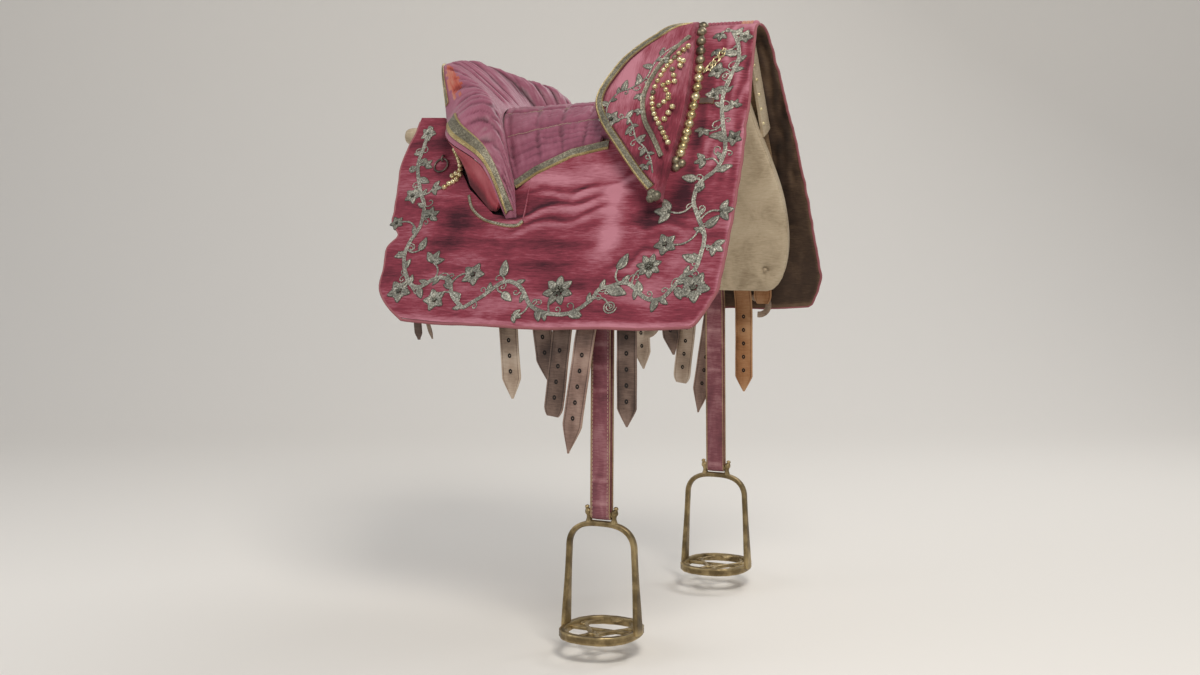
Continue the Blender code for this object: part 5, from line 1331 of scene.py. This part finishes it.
def make_stirrup(place_name):
    """A cast brass stirrup: horned eye, arched branches, scalloped rim, scrolls and shells in the tread."""
    side = SIDES[place_name]
    eye = leather_line(side)[-1]
    top, foot = eye.z - 0.0125, eye.z - STIRRUP_DROP
    piece = Mesh()
    rings = []
    ts = [0.3 * t for t in steps(16)] + [0.3 + 0.4 * t for t in steps(44)[1:-1]]
    ts += [0.7 + 0.3 * t for t in steps(16)]
    spots = [stirrup_spot(t, top, foot, eye.y) for t in ts]
    for i, (centre, depth) in enumerate(spots):
        heading = (spots[min(i + 1, len(spots) - 1)][0] - spots[max(i - 1, 0)][0]).normalized()
        across = Vector((-heading.z, 0, heading.x))
        rings.append(section_ring(centre, across, Vector((0, 1, 0)), BRANCH_THICK, depth))
    ids = piece.grid(rings, 0, None, None, False, True)
    piece.face(ids[0])
    piece.face(list(reversed(ids[-1])))

    piece.tube([eye - Vector((0.0185, 0, 0)), eye + Vector((0.0185, 0, 0))], 0.0036, 16)
    for sign in (-1, 1):
        horn, sizes = [], []
        for t in steps(14):
            flare = 0.0030 * ease((t - 0.5) / 0.5)
            horn.append(Vector((sign * (0.0185 + flare), eye.y, top + 0.001 + (eye.z + 0.0080 - top) * t)))
            sizes.append(0.0042 + 0.0008 * math.cos(t * 9) - 0.0016 * ease((t - 0.7) / 0.3))
        piece.tube(horn, sizes, 14, up=(1, 0, 0))
        piece.dome(horn[-1], (sign * 0.25, 0, 1), 0.0034, 0.0028, 14, 4)
    piece.tube([Vector((-0.0185, eye.y, top + 0.0012)), Vector((0.0185, eye.y, top + 0.0012))], 0.0030, 12)

    rings = []
    for t in steps(144)[:-1]:
        turn = 2 * math.pi * t
        c, s = math.cos(turn), math.sin(turn)
        ray = Vector((c, s, 0))
        centre = Vector(((STIRRUP_HALF - 0.004) * math.copysign(abs(c) ** 0.8, c),
                         eye.y + TREAD_REACH * math.copysign(abs(s) ** 0.9, s), foot))
        centre += ray * 0.0009 * abs(math.sin(turn * 9)) * ease(abs(s) * 1.8)
        rings.append([centre + ray * 0.00425 * a + Vector((0, 0, 0.0055 * h)) for a, h in RIM_SECTION])
    piece.grid(rings, 0, None, None, True, True)

    for sign in (-1, 1):
        path = [Vector((sign * (0.020 + 0.013 * math.sin(2 * math.pi * (t - 0.5))),
                        eye.y + 0.0995 * (t - 0.5), foot)) for t in steps(40)]
        scroll_bar(piece, path, 0.0062, 0.0058)
        for end in (-1, 1):
            curl = []
            for t in steps(26):
                turn = math.pi * (0.5 + 1.45 * t)
                size = 0.0100 * (1 - 0.62 * t)
                curl.append(Vector((sign * 0.020 + end * sign * (0.0145 - size * math.cos(turn) * 0.6),
                                    eye.y + end * (0.020 + size * math.sin(turn) * 0.9), foot)))
            scroll_bar(piece, curl, 0.0044, 0.0052)
    bar = [Vector((STIRRUP_HALF * (2 * t - 1), eye.y, foot)) for t in steps(30)]
    scroll_bar(piece, bar, 0.0062, 0.0052)
    for end in (-1, 1):
        for k in range(7):
            turn = math.radians(-54 + 18 * k)
            tip = Vector((0.0125 * math.sin(turn), end * (0.0495 + 0.0066 * math.cos(turn)), 0))
            root = Vector((0.0035 * math.sin(turn), end * 0.0430, 0))
            base = Vector((0, eye.y, foot + 0.0012))
            piece.tube([base + root, base + root.lerp(tip, 0.55) + Vector((0, 0, 0.0012)), base + tip],
                       [0.0010, 0.0022, 0.0026], 10)
            low = tip + Vector((0, 0, -0.0062))
            piece.tube([base + tip, base + low], [0.0026, 0.0010], 10, up=(0, 1, 0))
    node = "stirrup_" + place_name
    made = piece.build("brass_stirrup_" + place_name, [STIRRUP_BRASS], node, 60)
    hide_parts(node)


STAPLE_WIRE = 0.0012
STAPLE_REACH = 0.0048
RING_WIRE = 0.0015
RING_RADIUS = 0.0110


def make_ring(place_name):
    """The iron staple in the rear skirt and its swinging ring."""
    side = SIDES[place_name]
    out, down = outward(side), downward(side)
    foot = skin(-0.303, 0.236, STAPLE_WIRE, side)
    path = [foot + (out * math.sin(math.pi * t) - down * math.cos(math.pi * t)) * STAPLE_REACH
            for t in steps(20)]
    path = [path[0] - out * 0.0008] + path + [path[-1] - out * 0.0008]
    piece = Mesh()
    piece.tube(path, STAPLE_WIRE, 10, up=(1, 0, 0))
    made = piece.build("staple_" + place_name, [IRON])
    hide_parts("rear_staple_" + place_name)
    reach = STAPLE_REACH - STAPLE_WIRE - RING_WIRE - 0.0004
    centre = foot + (out + down) * reach * 0.7 + down * RING_RADIUS
    ring = []
    for t in steps(48)[:-1]:
        turn = 2 * math.pi * t
        ring.append(centre + (Vector((math.sin(turn), 0, 0)) - down * math.cos(turn)) * RING_RADIUS)
    piece = Mesh()
    piece.tube(ring, RING_WIRE, 12, True, up=out)
    made = piece.build("ring_" + place_name, [IRON], "rear_ring_" + place_name)
    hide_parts("rear_ring_" + place_name)


def make_clasp():
    """The gilt openwork hook on the right front, and the leather tab below it."""
    side = SIDES["right"]
    piece = Mesh()
    run = Vector((0.0220, -0.0336, 0)).normalized()

    def spot(t, across, lift):
        return skin(0.094 + 0.0220 * t - run.y * across, 0.098 - 0.0336 * t + run.x * across, lift, side)

    for sign in (-1, 1):
        path = [spot(t, sign * 0.0042 * math.sin(math.pi * (3 * t + 0.15)), 0.0026) for t in steps(48)]
        piece.tube(path, 0.0010, 8, up=outward(side))
        edge = [spot(t, sign * (0.0040 + 0.0008 * math.cos(t * 25)), 0.0020) for t in steps(40)]
        piece.tube(edge, 0.0009, 8, up=outward(side))
    for t in (0.02, 0.20, 0.40, 0.60, 0.80, 0.98):
        piece.dome(spot(t, 0.0, 0.0016), outward(side), 0.0021, 0.0026, 12, 4)
    hook = [spot(-0.02 - 0.16 * math.sin(math.pi * t), 0.0, 0.0022 + 0.0050 * t) for t in steps(14)]
    piece.tube(hook, 0.0012, 8, up=(1, 0, 0))
    made = piece.build("gilt_hook", [BRASS], smooth=70)
    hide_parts("pommel_clasp")
    tab = Mesh()
    outer, inner = ([[velvet(0.102 + 0.020 * (t - 0.5), 0.150 + 0.0042 * (2 * w - 1), side, lift)
                      for w in steps(5)] for t in steps(12)] for lift in (0.0030, 0.0004))
    tab.slab(outer, inner, (0, 0, 1))
    made = tab.build("tab", [BROWN_LEATHER, TAN_EDGE])
    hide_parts("front_tab")


# The embroidery, as (x, drop) on each flank
STEMS = (
    ((-.287, .454), (-.308, .431), (-.321, .403), (-.320, .379), (-.310, .349), (-.313, .316),
     (-.327, .291), (-.344, .248), (-.343, .213), (-.343, .178)),
    ((-.201, .480), (-.224, .460), (-.236, .437), (-.257, .433), (-.281, .448), (-.299, .443),
     (-.313, .423), (-.321, .403)),
    ((-.201, .480), (-.174, .462), (-.145, .438), (-.119, .445), (-.096, .472), (-.067, .483),
     (-.031, .482), (-.004, .462)),
    ((-.004, .462), (.003, .447), (.016, .442), (.042, .436), (.071, .456), (.093, .457), (.107, .442),
     (.118, .424), (.133, .415), (.138, .393), (.138, .363), (.123, .333), (.112, .308), (.116, .281),
     (.135, .262), (.143, .240), (.143, .224), (.132, .183), (.125, .151), (.128, .118), (.137, .085),
     (.132, .055), (.120, .032)),
)
# Tendrils: x, drop, heading in degrees, length, curl
TENDRILS = (
    (-.257, .433, -60, .034, 5.0), (-.145, .438, -100, .030, -5.0), (-.119, .445, 60, .026, 6.0),
    (-.174, .462, -40, .028, -6.0), (-.096, .472, -80, .030, 5.5), (-.031, .482, -60, .028, -5.0),
    (.016, .442, 100, .026, 5.5), (.042, .436, -100, .032, 5.0), (.071, .456, 60, .020, -6.0),
    (.107, .442, -120, .030, 5.0), (.133, .415, -40, .026, -6.0), (.138, .363, -150, .034, 5.0),
    (.123, .333, -20, .030, -5.0), (-.308, .431, 170, .024, 6.0), (-.320, .379, -10, .026, 5.0),
    (-.313, .316, 20, .026, -5.0), (-.327, .291, 160, .022, 5.0), (-.343, .213, 10, .024, 5.0),
    (.143, .240, 170, .034, 5.0), (.132, .183, 200, .030, -5.0), (.125, .151, -20, .024, 5.0),
    (.128, .118, 180, .026, 5.0), (.137, .085, 190, .028, -5.0), (.120, .032, 150, .022, 5.0),
)
# Flowers: kind, x, drop, size, turn
FLOWERS = (
    ("star", -.312, .456, .0170, 10), ("star", -.252, .467, .0155, 30), ("star", -.199, .427, .0165, 0),
    ("carnation", -.060, .449, .0205, 0), ("trefoil", -.119, .488, .0105, 100),
    ("trefoil", -.272, .408, .0165, 20), ("spiral", .024, .472, .0100, 0),
    ("carnation", .067, .409, .0160, 15), ("star", .138, .440, .0210, 5),
    ("trefoil", .080, .326, .0190, 270), ("trefoil", .155, .325, .0155, 80),
    ("star", .084, .376, .0150, 25), ("trefoil", .154, .377, .0140, 120),
    ("trefoil", -.298, .333, .0135, 60), ("trefoil", -.306, .286, .0120, 90),
    ("star", -.338, .299, .0120, 0), ("trefoil", -.331, .248, .0110, 45),
    ("spiral", -.352, .253, .0060, 0), ("star", -.342, .192, .0115, 0), ("star", .108, .100, .0125, 0),
    ("star", .153, .211, .0115, 20), ("trefoil", .116, .245, .0130, 250),
    ("trefoil", .106, .196, .0115, 200), ("star", .110, .140, .0105, 40),
    ("trefoil", .145, .160, .0095, 20), ("star", .140, .043, .0105, 0),
    ("trefoil", .102, .037, .0105, 180), ("trefoil", .100, .066, .0090, 150),
    ("star", -.352, .345, .0100, 20), ("trefoil", .120, .290, .0100, 300),
)
# Leaves: x, drop, heading in degrees, length, width
LEAVES = (
    (-.150, .430, -95, .026, .0075), (-.144, .455, 35, .020, .0065), (-.298, .390, -80, .022, .0070),
    (-.210, .466, -150, .022, .0070), (.014, .444, 15, .030, .0095), (.024, .416, -70, .026, .0080),
    (.113, .440, 60, .020, .0065), (.087, .458, 100, .018, .0060), (.138, .350, -50, .024, .0075),
    (.062, .450, -110, .020, .0065), (-.085, .478, 70, .018, .0060), (-.035, .482, 20, .020, .0060),
    (-.232, .446, -120, .020, .0065), (-.283, .450, 60, .018, .0060), (-.321, .395, 160, .018, .0060),
    (-.313, .330, -10, .020, .0065), (-.335, .270, 20, .020, .0060), (-.343, .225, 170, .014, .0050),
    (.110, .276, 190, .022, .0070), (.140, .262, -20, .020, .0065), (.138, .205, 170, .022, .0070),
    (.128, .165, -20, .016, .0060), (.126, .130, 165, .020, .0065), (.134, .100, -10, .014, .0050),
    (.134, .070, 170, .020, .0065), (.126, .040, -60, .016, .0055), (.133, .400, 200, .022, .0070),
)
WING_VINE = ((-.034, .196), (-.036, .168), (-.024, .148), (-.004, .140), (.014, .124), (.022, .100),
             (.034, .080), (.052, .062))
WING_LOWER_VINE = ((-.022, .196), (-.002, .190), (.010, .204), (.020, .226), (.036, .240), (.048, .258),
                   (.056, .280))
WING_FLOWERS = (
    ("star", -.026, .192, .0125, 10), ("trefoil", .010, .152, .0090, 170),
    ("trefoil", .036, .096, .0075, 60), ("trefoil", .016, .178, .0080, 200),
    ("trefoil", .042, .268, .0080, 200),
)
WING_LEAVES = (
    (-.036, .168, 200, .014, .0050), (-.018, .145, -80, .018, .0055), (.006, .132, -110, .016, .0050),
    (.020, .106, 190, .015, .0048), (.030, .086, -100, .013, .0042), (.010, .204, 120, .016, .0052),
    (.022, .228, -40, .014, .0046), (.036, .242, 110, .012, .0042), (-.002, .190, -60, .014, .0046),
)
WING_TENDRILS = (
    (-.034, .190, 120, .020, 5.0), (-.004, .140, 60, .022, -5.0), (.014, .124, 20, .018, 5.0),
    (.034, .080, 180, .018, 5.0), (.020, .226, 170, .020, -5.0), (.048, .258, 160, .016, 5.0),
)


# The least way down from the ridge, and how deep an embroidered shape's rim is sunk
TOP_DROP = 0.002
SUNK = -0.0004
PETAL_HEIGHT = 0.0016
STEM_RADIUS = 0.0012


def cord_on(piece, path, radius, place, kind=0, flat=0.8):
    """A twisted thread laid on the cloth along a path of (x, drop)."""
    spots = [place(x, d, radius * 0.45) for x, d in path]
    sizes = [radius * (1.0 + 0.16 * math.cos(i * 2.1)) for i in range(len(spots))]
    sizes[0] = sizes[-1] = radius * 0.5
    piece.tube(spots, sizes, 6, up=place.up, kind=kind, flat=flat)


class Ground:
    """The cloth of one side that embroidery is laid on: the velvet or a wing."""

    def __init__(self, side, surface):
        self.side = side
        self.surface = surface
        self.up = outward(side)

    def __call__(self, x, drop, lift):
        return self.surface(x, max(drop, TOP_DROP), self.side, lift)


def filled(piece, place, centre, outline, height, kind=0):
    """A padded shape raised over the cloth: rings of an outline drawn in to its middle."""
    ids = []
    for share, lift in ((1.0, SUNK), (0.97, 0.55 * height), (0.80, 0.92 * height), (0.45, height)):
        line = []
        for x, d in outline:
            px, pd = centre[0] + (x - centre[0]) * share, centre[1] + (d - centre[1]) * share
            line.append(piece.add(place(px, pd, lift), (px, pd)))
        ids.append(line)
    middle = piece.add(place(*centre, height * 0.9), centre)
    bottom = piece.add(place(*centre, SUNK), centre)
    for k in range(len(outline)):
        after = (k + 1) % len(outline)
        for low, high in zip(ids, ids[1:]):
            piece.face((low[k], low[after], high[after], high[k]), kind)
        piece.face((ids[-1][k], ids[-1][after], middle), kind)
        piece.face((ids[0][after], ids[0][k], bottom), kind)


def petal(centre, degrees, start, length, width, points=16):
    """Outline of one petal or leaf that leaves a centre at a heading."""
    cx, sy = math.cos(math.radians(degrees)), math.sin(math.radians(degrees))
    outline = []
    for k in range(points):
        t = 2 * math.pi * k / points
        run = start + length * (0.5 - 0.5 * math.cos(t))
        bend = width * math.copysign(abs(math.sin(t)) ** 1.25, math.sin(t)) * (0.80 + 0.35 * math.cos(t))
        outline.append((centre[0] + cx * run - sy * bend, centre[1] + sy * run + cx * bend))
    middle = start + length * 0.52
    return (centre[0] + cx * middle, centre[1] + sy * middle), outline


def edged(piece, place, middle, outline, height):
    """A filled shape with a cord round it and a raised vein."""
    filled(piece, place, middle, outline, height)
    cord_on(piece, outline + outline[:1], 0.00085, place, 1)
    root, tip = outline[0], outline[len(outline) // 2]
    spots = [place(root[0] + (tip[0] - root[0]) * t, root[1] + (tip[1] - root[1]) * t, height * 1.02)
             for t in (0.1, 0.3, 0.5, 0.7, 0.85)]
    piece.tube(spots, [0.0004, 0.0008, 0.0009, 0.0008, 0.0003], 5, up=place.up)


def flower(piece, place, kind, x, d, size, turn):
    """A star of petals, a carnation, a trefoil or a spiral."""
    if kind == "spiral":
        path = []
        for t in steps(46):
            angle, reach = turn + 4.6 * math.pi * t, size * (1 - 0.82 * t)
            path.append((x + reach * math.cos(angle), d + reach * math.sin(angle)))
        cord_on(piece, path, 0.0011, place)
        return
    if kind == "star":
        for k in range(5):
            middle, outline = petal((x, d), turn + 72 * k, size * 0.22, size * 0.90, size * 0.40)
            edged(piece, place, middle, outline, PETAL_HEIGHT)
            middle, outline = petal((x, d), turn + 36 + 72 * k, size * 0.30, size * 0.52, size * 0.15, 12)
            filled(piece, place, middle, outline, 0.0012)
        middle, outline = petal((x - size * 0.24, d), 0, 0.0, size * 0.48, size * 0.24, 12)
        filled(piece, place, middle, outline, 0.0026, 1)
    elif kind == "carnation":
        for k in range(7):
            middle, outline = petal((x, d), turn + 360 / 7 * k - 90, size * 0.34, size * 0.78, size * 0.33)
            edged(piece, place, middle, outline, 0.0017)
        for k in range(6):
            middle, outline = petal((x, d), turn + 60 * k, size * 0.12, size * 0.36, size * 0.15, 12)
            filled(piece, place, middle, outline, 0.0027, 1)
        middle, outline = petal((x - size * 0.14, d), 0, 0.0, size * 0.28, size * 0.14, 12)
        filled(piece, place, middle, outline, 0.0034, 0)
    else:
        for k in (-58, 0, 58):
            middle, outline = petal((x, d), turn - 90 + k, size * 0.06, size * 1.10, size * 0.38)
            edged(piece, place, middle, outline, PETAL_HEIGHT)
        middle, outline = petal((x - size * 0.18, d), 0, 0.0, size * 0.36, size * 0.18, 10)
        filled(piece, place, middle, outline, 0.0024, 1)


def leaf(piece, place, x, d, degrees, length, width):
    """A leaf with a cord edge and a vein."""
    middle, outline = petal((x, d), degrees, 0.0, length, width, 20)
    edged(piece, place, middle, outline, 0.0015)


def tendril(piece, place, x, d, degrees, length, curl):
    """A thread that leaves the stem and curls up."""
    path = [(x, d)]
    angle = math.radians(degrees)
    count = 34
    for t in steps(count)[1:]:
        angle += curl / count * (0.35 + 1.9 * t * t)
        px, pd = path[-1]
        path.append((px + math.cos(angle) * length / count, pd + math.sin(angle) * length / count))
    cord_on(piece, path, 0.0009, place)


def branch(piece, place, x, d, stems):
    """A short stalk from a flower or leaf to the nearest place on a stem."""
    sx, sd = min(stems, key=lambda spot: math.hypot(spot[0] - x, spot[1] - d))
    reach = math.hypot(sx - x, sd - d)
    if not 0.005 < reach < 0.060:
        return
    bow = 0.22 * (1 if (x * 700) % 2 < 1 else -1)
    path = []
    for t in steps(14):
        side_step = bow * math.sin(math.pi * t)
        path.append((x + (sx - x) * t - (sd - d) * side_step, d + (sd - d) * t + (sx - x) * side_step))
    cord_on(piece, path, 0.0014, place)


def sprigs(piece, place, line, gap, size):
    """Small leaves and curls that leave a stem by turns."""
    for k, i in enumerate(range(gap, len(line) - gap, gap)):
        (x, d), (bx, bd), (nx, nd) = line[i], line[i - 1], line[i + 1]
        if math.hypot(nx - bx, nd - bd) > 0.02:
            continue
        turn = math.degrees(math.atan2(nd - bd, nx - bx)) + (52 if k % 2 else -52)
        if k % 5 in (0, 3):
            tendril(piece, place, x, d, turn, size * 1.6, 6.0 if k % 2 else -6.0)
        else:
            leaf(piece, place, x, d, turn, size * (1 + 0.2 * ripple(k, 0.0, 1.0)), size * 0.30)


def make_embroidery(name):
    """The winding stem with its flowers and leaves on one side of the velvet."""
    place = Ground(SIDES[name], velvet)
    piece = Mesh()
    stems = []
    for stem in STEMS:
        centre = curve(stem, len(stem) * 14)
        stems += centre
        for shift in (-0.0019, 0.0, 0.0019):
            path = []
            for i, (x, d) in enumerate(centre):
                step = left_of(centre, i) * shift
                path.append((x + step.x, d + step.y))
            cord_on(piece, path, STEM_RADIUS, place)
    sprigs(piece, place, stems, 11, 0.0140)
    for values in TENDRILS:
        tendril(piece, place, *values)
    for values in FLOWERS:
        branch(piece, place, values[1], values[2], stems)
        flower(piece, place, *values)
    for values in LEAVES:
        branch(piece, place, values[0], values[1], stems)
        leaf(piece, place, *values)
    made = piece.build("embroidery_" + name, [PURL, CORD_EDGE], None)
    over_fold(made)


def make_wing_embroidery(name):
    """The vine on one wing."""
    place = Ground(SIDES[name], wing_place)
    piece = Mesh()
    for vine in (WING_VINE, WING_LOWER_VINE):
        path = curve(vine, len(vine) * 12)
        cord_on(piece, path, STEM_RADIUS, place)
        sprigs(piece, place, path, 9, 0.0095)
    for values in WING_FLOWERS:
        flower(piece, place, *values)
    for values in WING_LEAVES:
        leaf(piece, place, *values)
    for values in WING_TENDRILS:
        tendril(piece, place, *values)
    piece.build("wing_embroidery_" + name, [PURL, CORD_EDGE])


# Small pieces that finish the edges
def make_tuck(name):
    """Velvet tucked under the cantle's tip, behind the end of the seat's braid, and a dark sheet of painted
    shadow in the slit behind the cantle.
    """
    side = SIDES[name]
    rows = []
    for t in steps(12):
        x = -0.1425 - 0.0280 * t
        start = seat_line(x) - 0.004
        row = []
        for v in steps(36):
            d = start + v * (0.3425 - start)
            lift = 0.0012 * ease(t * 5) * ripple(x * 60, d * 80, 4.0) - 0.0032 * ease((t - 0.25) / 0.75)
            # Painted shade: the velvet darkens as it goes in under the cantle's tip.
            row.append((velvet(x, d, side, lift - 0.0004), velvet(x, d, side, lift - 0.0024), (x, d),
                        paint(x, d) - 0.10 * t))
        rows.append(row)
    piece = Mesh()
    piece.layered(rows)
    # A dark sheet deep in the slit behind the cantle: painted shadow.
    grids = []
    for lift in (-0.0045, -0.0065):
        spots = [(x, slit_line(x) - 0.030) for x in (-0.318 + 0.172 * t for t in steps(40))]
        grids.append([[skin(x, d + 0.042 * v, lift - 0.010 * (1 - v) ** 2, side) for v in steps(6)]
                      for x, d in spots])
    piece.slab(*grids, (1, 1, 1))
    piece.build("tucked_velvet_" + name, [VELVET, DARK_VELVET])


def make_facing(name):
    """The suede facing over the front of the pommel arch, nailed along its inner edge."""
    side = SIDES[name]
    outer, inner = [], []
    for t in steps(40):
        d = 0.030 + 0.150 * t
        deep = -0.0255 - 0.006 * ease(t) + 0.0010 * ripple(d * 60, 0.0, 2.0)
        outer.append([skin(0.1330 + 0.0015 * math.sin(math.pi * w), d, deep * w - 0.0045, side)
                      for w in steps(8)])
        inner.append([skin(0.1290, d, deep * w - 0.0045, side) for w in steps(8)])
    piece = Mesh()
    piece.slab(outer, inner)
    for t in steps(5):
        d = 0.045 + 0.115 * t
        piece.dome(skin(0.1335, d, -0.0270 - 0.004 * t, side), (1, 0, 0), 0.0026, 0.0030, 12, 4, 1)
    piece.build("arch_facing_" + name, [SUEDE, BRASS], smooth=60)


def make_ridge():
    """Gathered velvet along the ridge in front of the wings, and the worn corner at the front."""
    piece = Mesh()
    for k, t in enumerate(steps(12)):
        start = len(piece.places)
        foot = skin(0.0745 + (FRONT_X - 0.0790) * t, 0.0, 0.0002, 1.0)
        piece.dome(foot, (0, 0, 1), 0.0046, 0.0050, 14, 4, 1 if k in (9, 10, 11) else 0)
        for i in range(start, len(piece.places)):
            piece.wear_and_shade[i] = 0.30 if k > 8 else 0.10
            px, py, pz = piece.places[i]
            piece.places[i] = (px, py * 2.2, pz)
    piece.build("ridge_gathers", [VELVET, WORN_RED])


# Thongs: x of the top, length, half width, slant, material
THONGS = ((-0.286, 0.052, 0.0060, 0.10, 0), (-0.276, 0.050, 0.0030, 0.35, 1))


def make_thongs(name):
    """A short strap end and a pale thong on the flap's lining, and the short billet's curled end."""
    side = SIDES[name]
    piece = Mesh()
    for x, length, width, lean, kind in THONGS:
        outer, inner = [], []
        for t in steps(24):
            centre = skin(x + lean * length * t, 0.470, -0.0060, side) + Vector((0, 0, -length * t))
            half = width * (1 - 0.7 * ease((t - 0.8) / 0.2))
            outer.append([centre + Vector((half, 0, 0)), centre - Vector((half, 0, 0))])
            inner.append([spot - Vector((0, side * 0.0018, 0)) for spot in outer[-1]])
        piece.slab(outer, inner, (kind, kind, kind))
    piece.build("thongs_" + name, [BROWN_LEATHER, PALE_LEATHER], "flap_" + name)
    piece = Mesh()
    loop = []
    centre = skin(0.070, 0.470, -0.0080, side) + Vector((0, -side * 0.004, -0.016))
    for t in steps(40):
        turn = math.radians(-100 + 250 * t)
        size = 0.0165 - 0.003 * t
        loop.append(centre + Vector((size * math.cos(turn), 0, size * math.sin(turn))))
    piece.tube(loop, 0.0050, 10, up=(0, 1, 0), flat=0.28)
    piece.build("curled_end_" + name, [PALE_LEATHER], "billet_short_" + name)


# Floor, light and camera
FLOOR_Z = -0.646
CAMERA_TURN = math.radians(25.4)
CAMERA_PLACE = (0.884, -2.082, -0.05)
CAMERA_LENS = 45.75
CAMERA_SHIFT = -0.103
LIGHT_AIM = Vector((0.0, 0.0, -0.10))


def make_stage():
    """A plain pale floor that rises behind into a backdrop."""
    profile = [(-5.0, 0.0), (1.6, 0.0)]
    for t in steps(14):
        turn = math.pi / 2 * t
        profile.append((1.8 + 1.2 * math.sin(turn), 1.2 - 1.2 * math.cos(turn)))
    profile.append((3.0, 5.0))
    c, s = math.cos(CAMERA_TURN), math.sin(CAMERA_TURN)
    piece = Mesh()
    piece.grid([[(across * c - reach * s, across * s + reach * c, FLOOR_Z + rise) for across in (-6.0, 6.0)]
                for reach, rise in profile])
    made = piece.build("floor_and_backdrop", [plain_material("backdrop", (0.83, 0.80, 0.75), 0.95)], None)


def make_light(name, place, size, power, colour=(1.0, 1.0, 1.0)):
    """A soft lamp that faces the saddle."""
    lamp = bpy.data.lights.new(name, "AREA")
    lamp.shape = "RECTANGLE"
    lamp.size, lamp.size_y = size
    lamp.energy = power
    lamp.color = colour
    made = bpy.data.objects.new(name, lamp)
    made.location = place
    made.rotation_euler = (LIGHT_AIM - Vector(place)).to_track_quat("-Z", "Y").to_euler()
    bpy.context.scene.collection.objects.link(made)


def make_view():
    """The camera of the photograph and the studio light."""
    lens = bpy.data.cameras.new("camera")
    lens.lens = CAMERA_LENS
    lens.sensor_width = 36.0
    lens.shift_y = CAMERA_SHIFT
    lens.clip_end = 40.0
    camera = bpy.data.objects.new("camera", lens)
    camera.location = CAMERA_PLACE
    camera.rotation_euler = (math.radians(90), 0.0, CAMERA_TURN)
    scene = bpy.context.scene
    scene.collection.objects.link(camera)
    scene.camera = camera
    scene.view_settings.view_transform = "Standard"
    world = bpy.data.worlds.new("studio")
    world.use_nodes = True
    set_inputs(world.node_tree.nodes["Background"], {"Color": (0.95, 0.96, 1.0, 1.0), "Strength": 0.36})
    scene.world = world
    make_light("key", (1.1, -1.5, 1.9), (1.0, 1.0), 46.0, (1.0, 0.96, 0.90))
    make_light("fill", (-1.9, -1.7, 0.8), (1.6, 1.2), 14.0, (0.94, 0.96, 1.0))
    make_light("back", (0.6, 1.8, 1.7), (1.6, 1.0), 24.0)


# Pieces that come over unchanged and what they are made of
CARRIED = {"pommel_yoke": WOOD, "cantle_yoke": WOOD, "side_bar_right": WOOD, "side_bar_left": WOOD,
           "pommel_plate": IRON, "stirrup_bar_right": IRON, "stirrup_bar_left": IRON,
           "ground_seat": BROWN_LEATHER}


for side_name in SIDES:
    make_velvet(side_name)
    make_wings(side_name)
    make_nails(side_name)
    make_seat_galloon(side_name)
    make_panel(side_name)
    make_tuck(side_name)
    make_facing(side_name)
    make_thongs(side_name)
    make_leather(side_name)
    make_stirrup(side_name)
    make_ring(side_name)
    make_embroidery(side_name)
    make_wing_embroidery(side_name)
    for billet in BILLETS:
        make_billet(billet[0], side_name, *billet[1:])
make_seat()
make_pommel_pad()
make_cantle_roll()
make_cantle_board()
make_cantle_braid()
make_clasp()
make_ridge()
for node, kind in CARRIED.items():
    for slot in bpy.data.objects[node].material_slots:
        slot.material = kind
make_stage()
make_view()
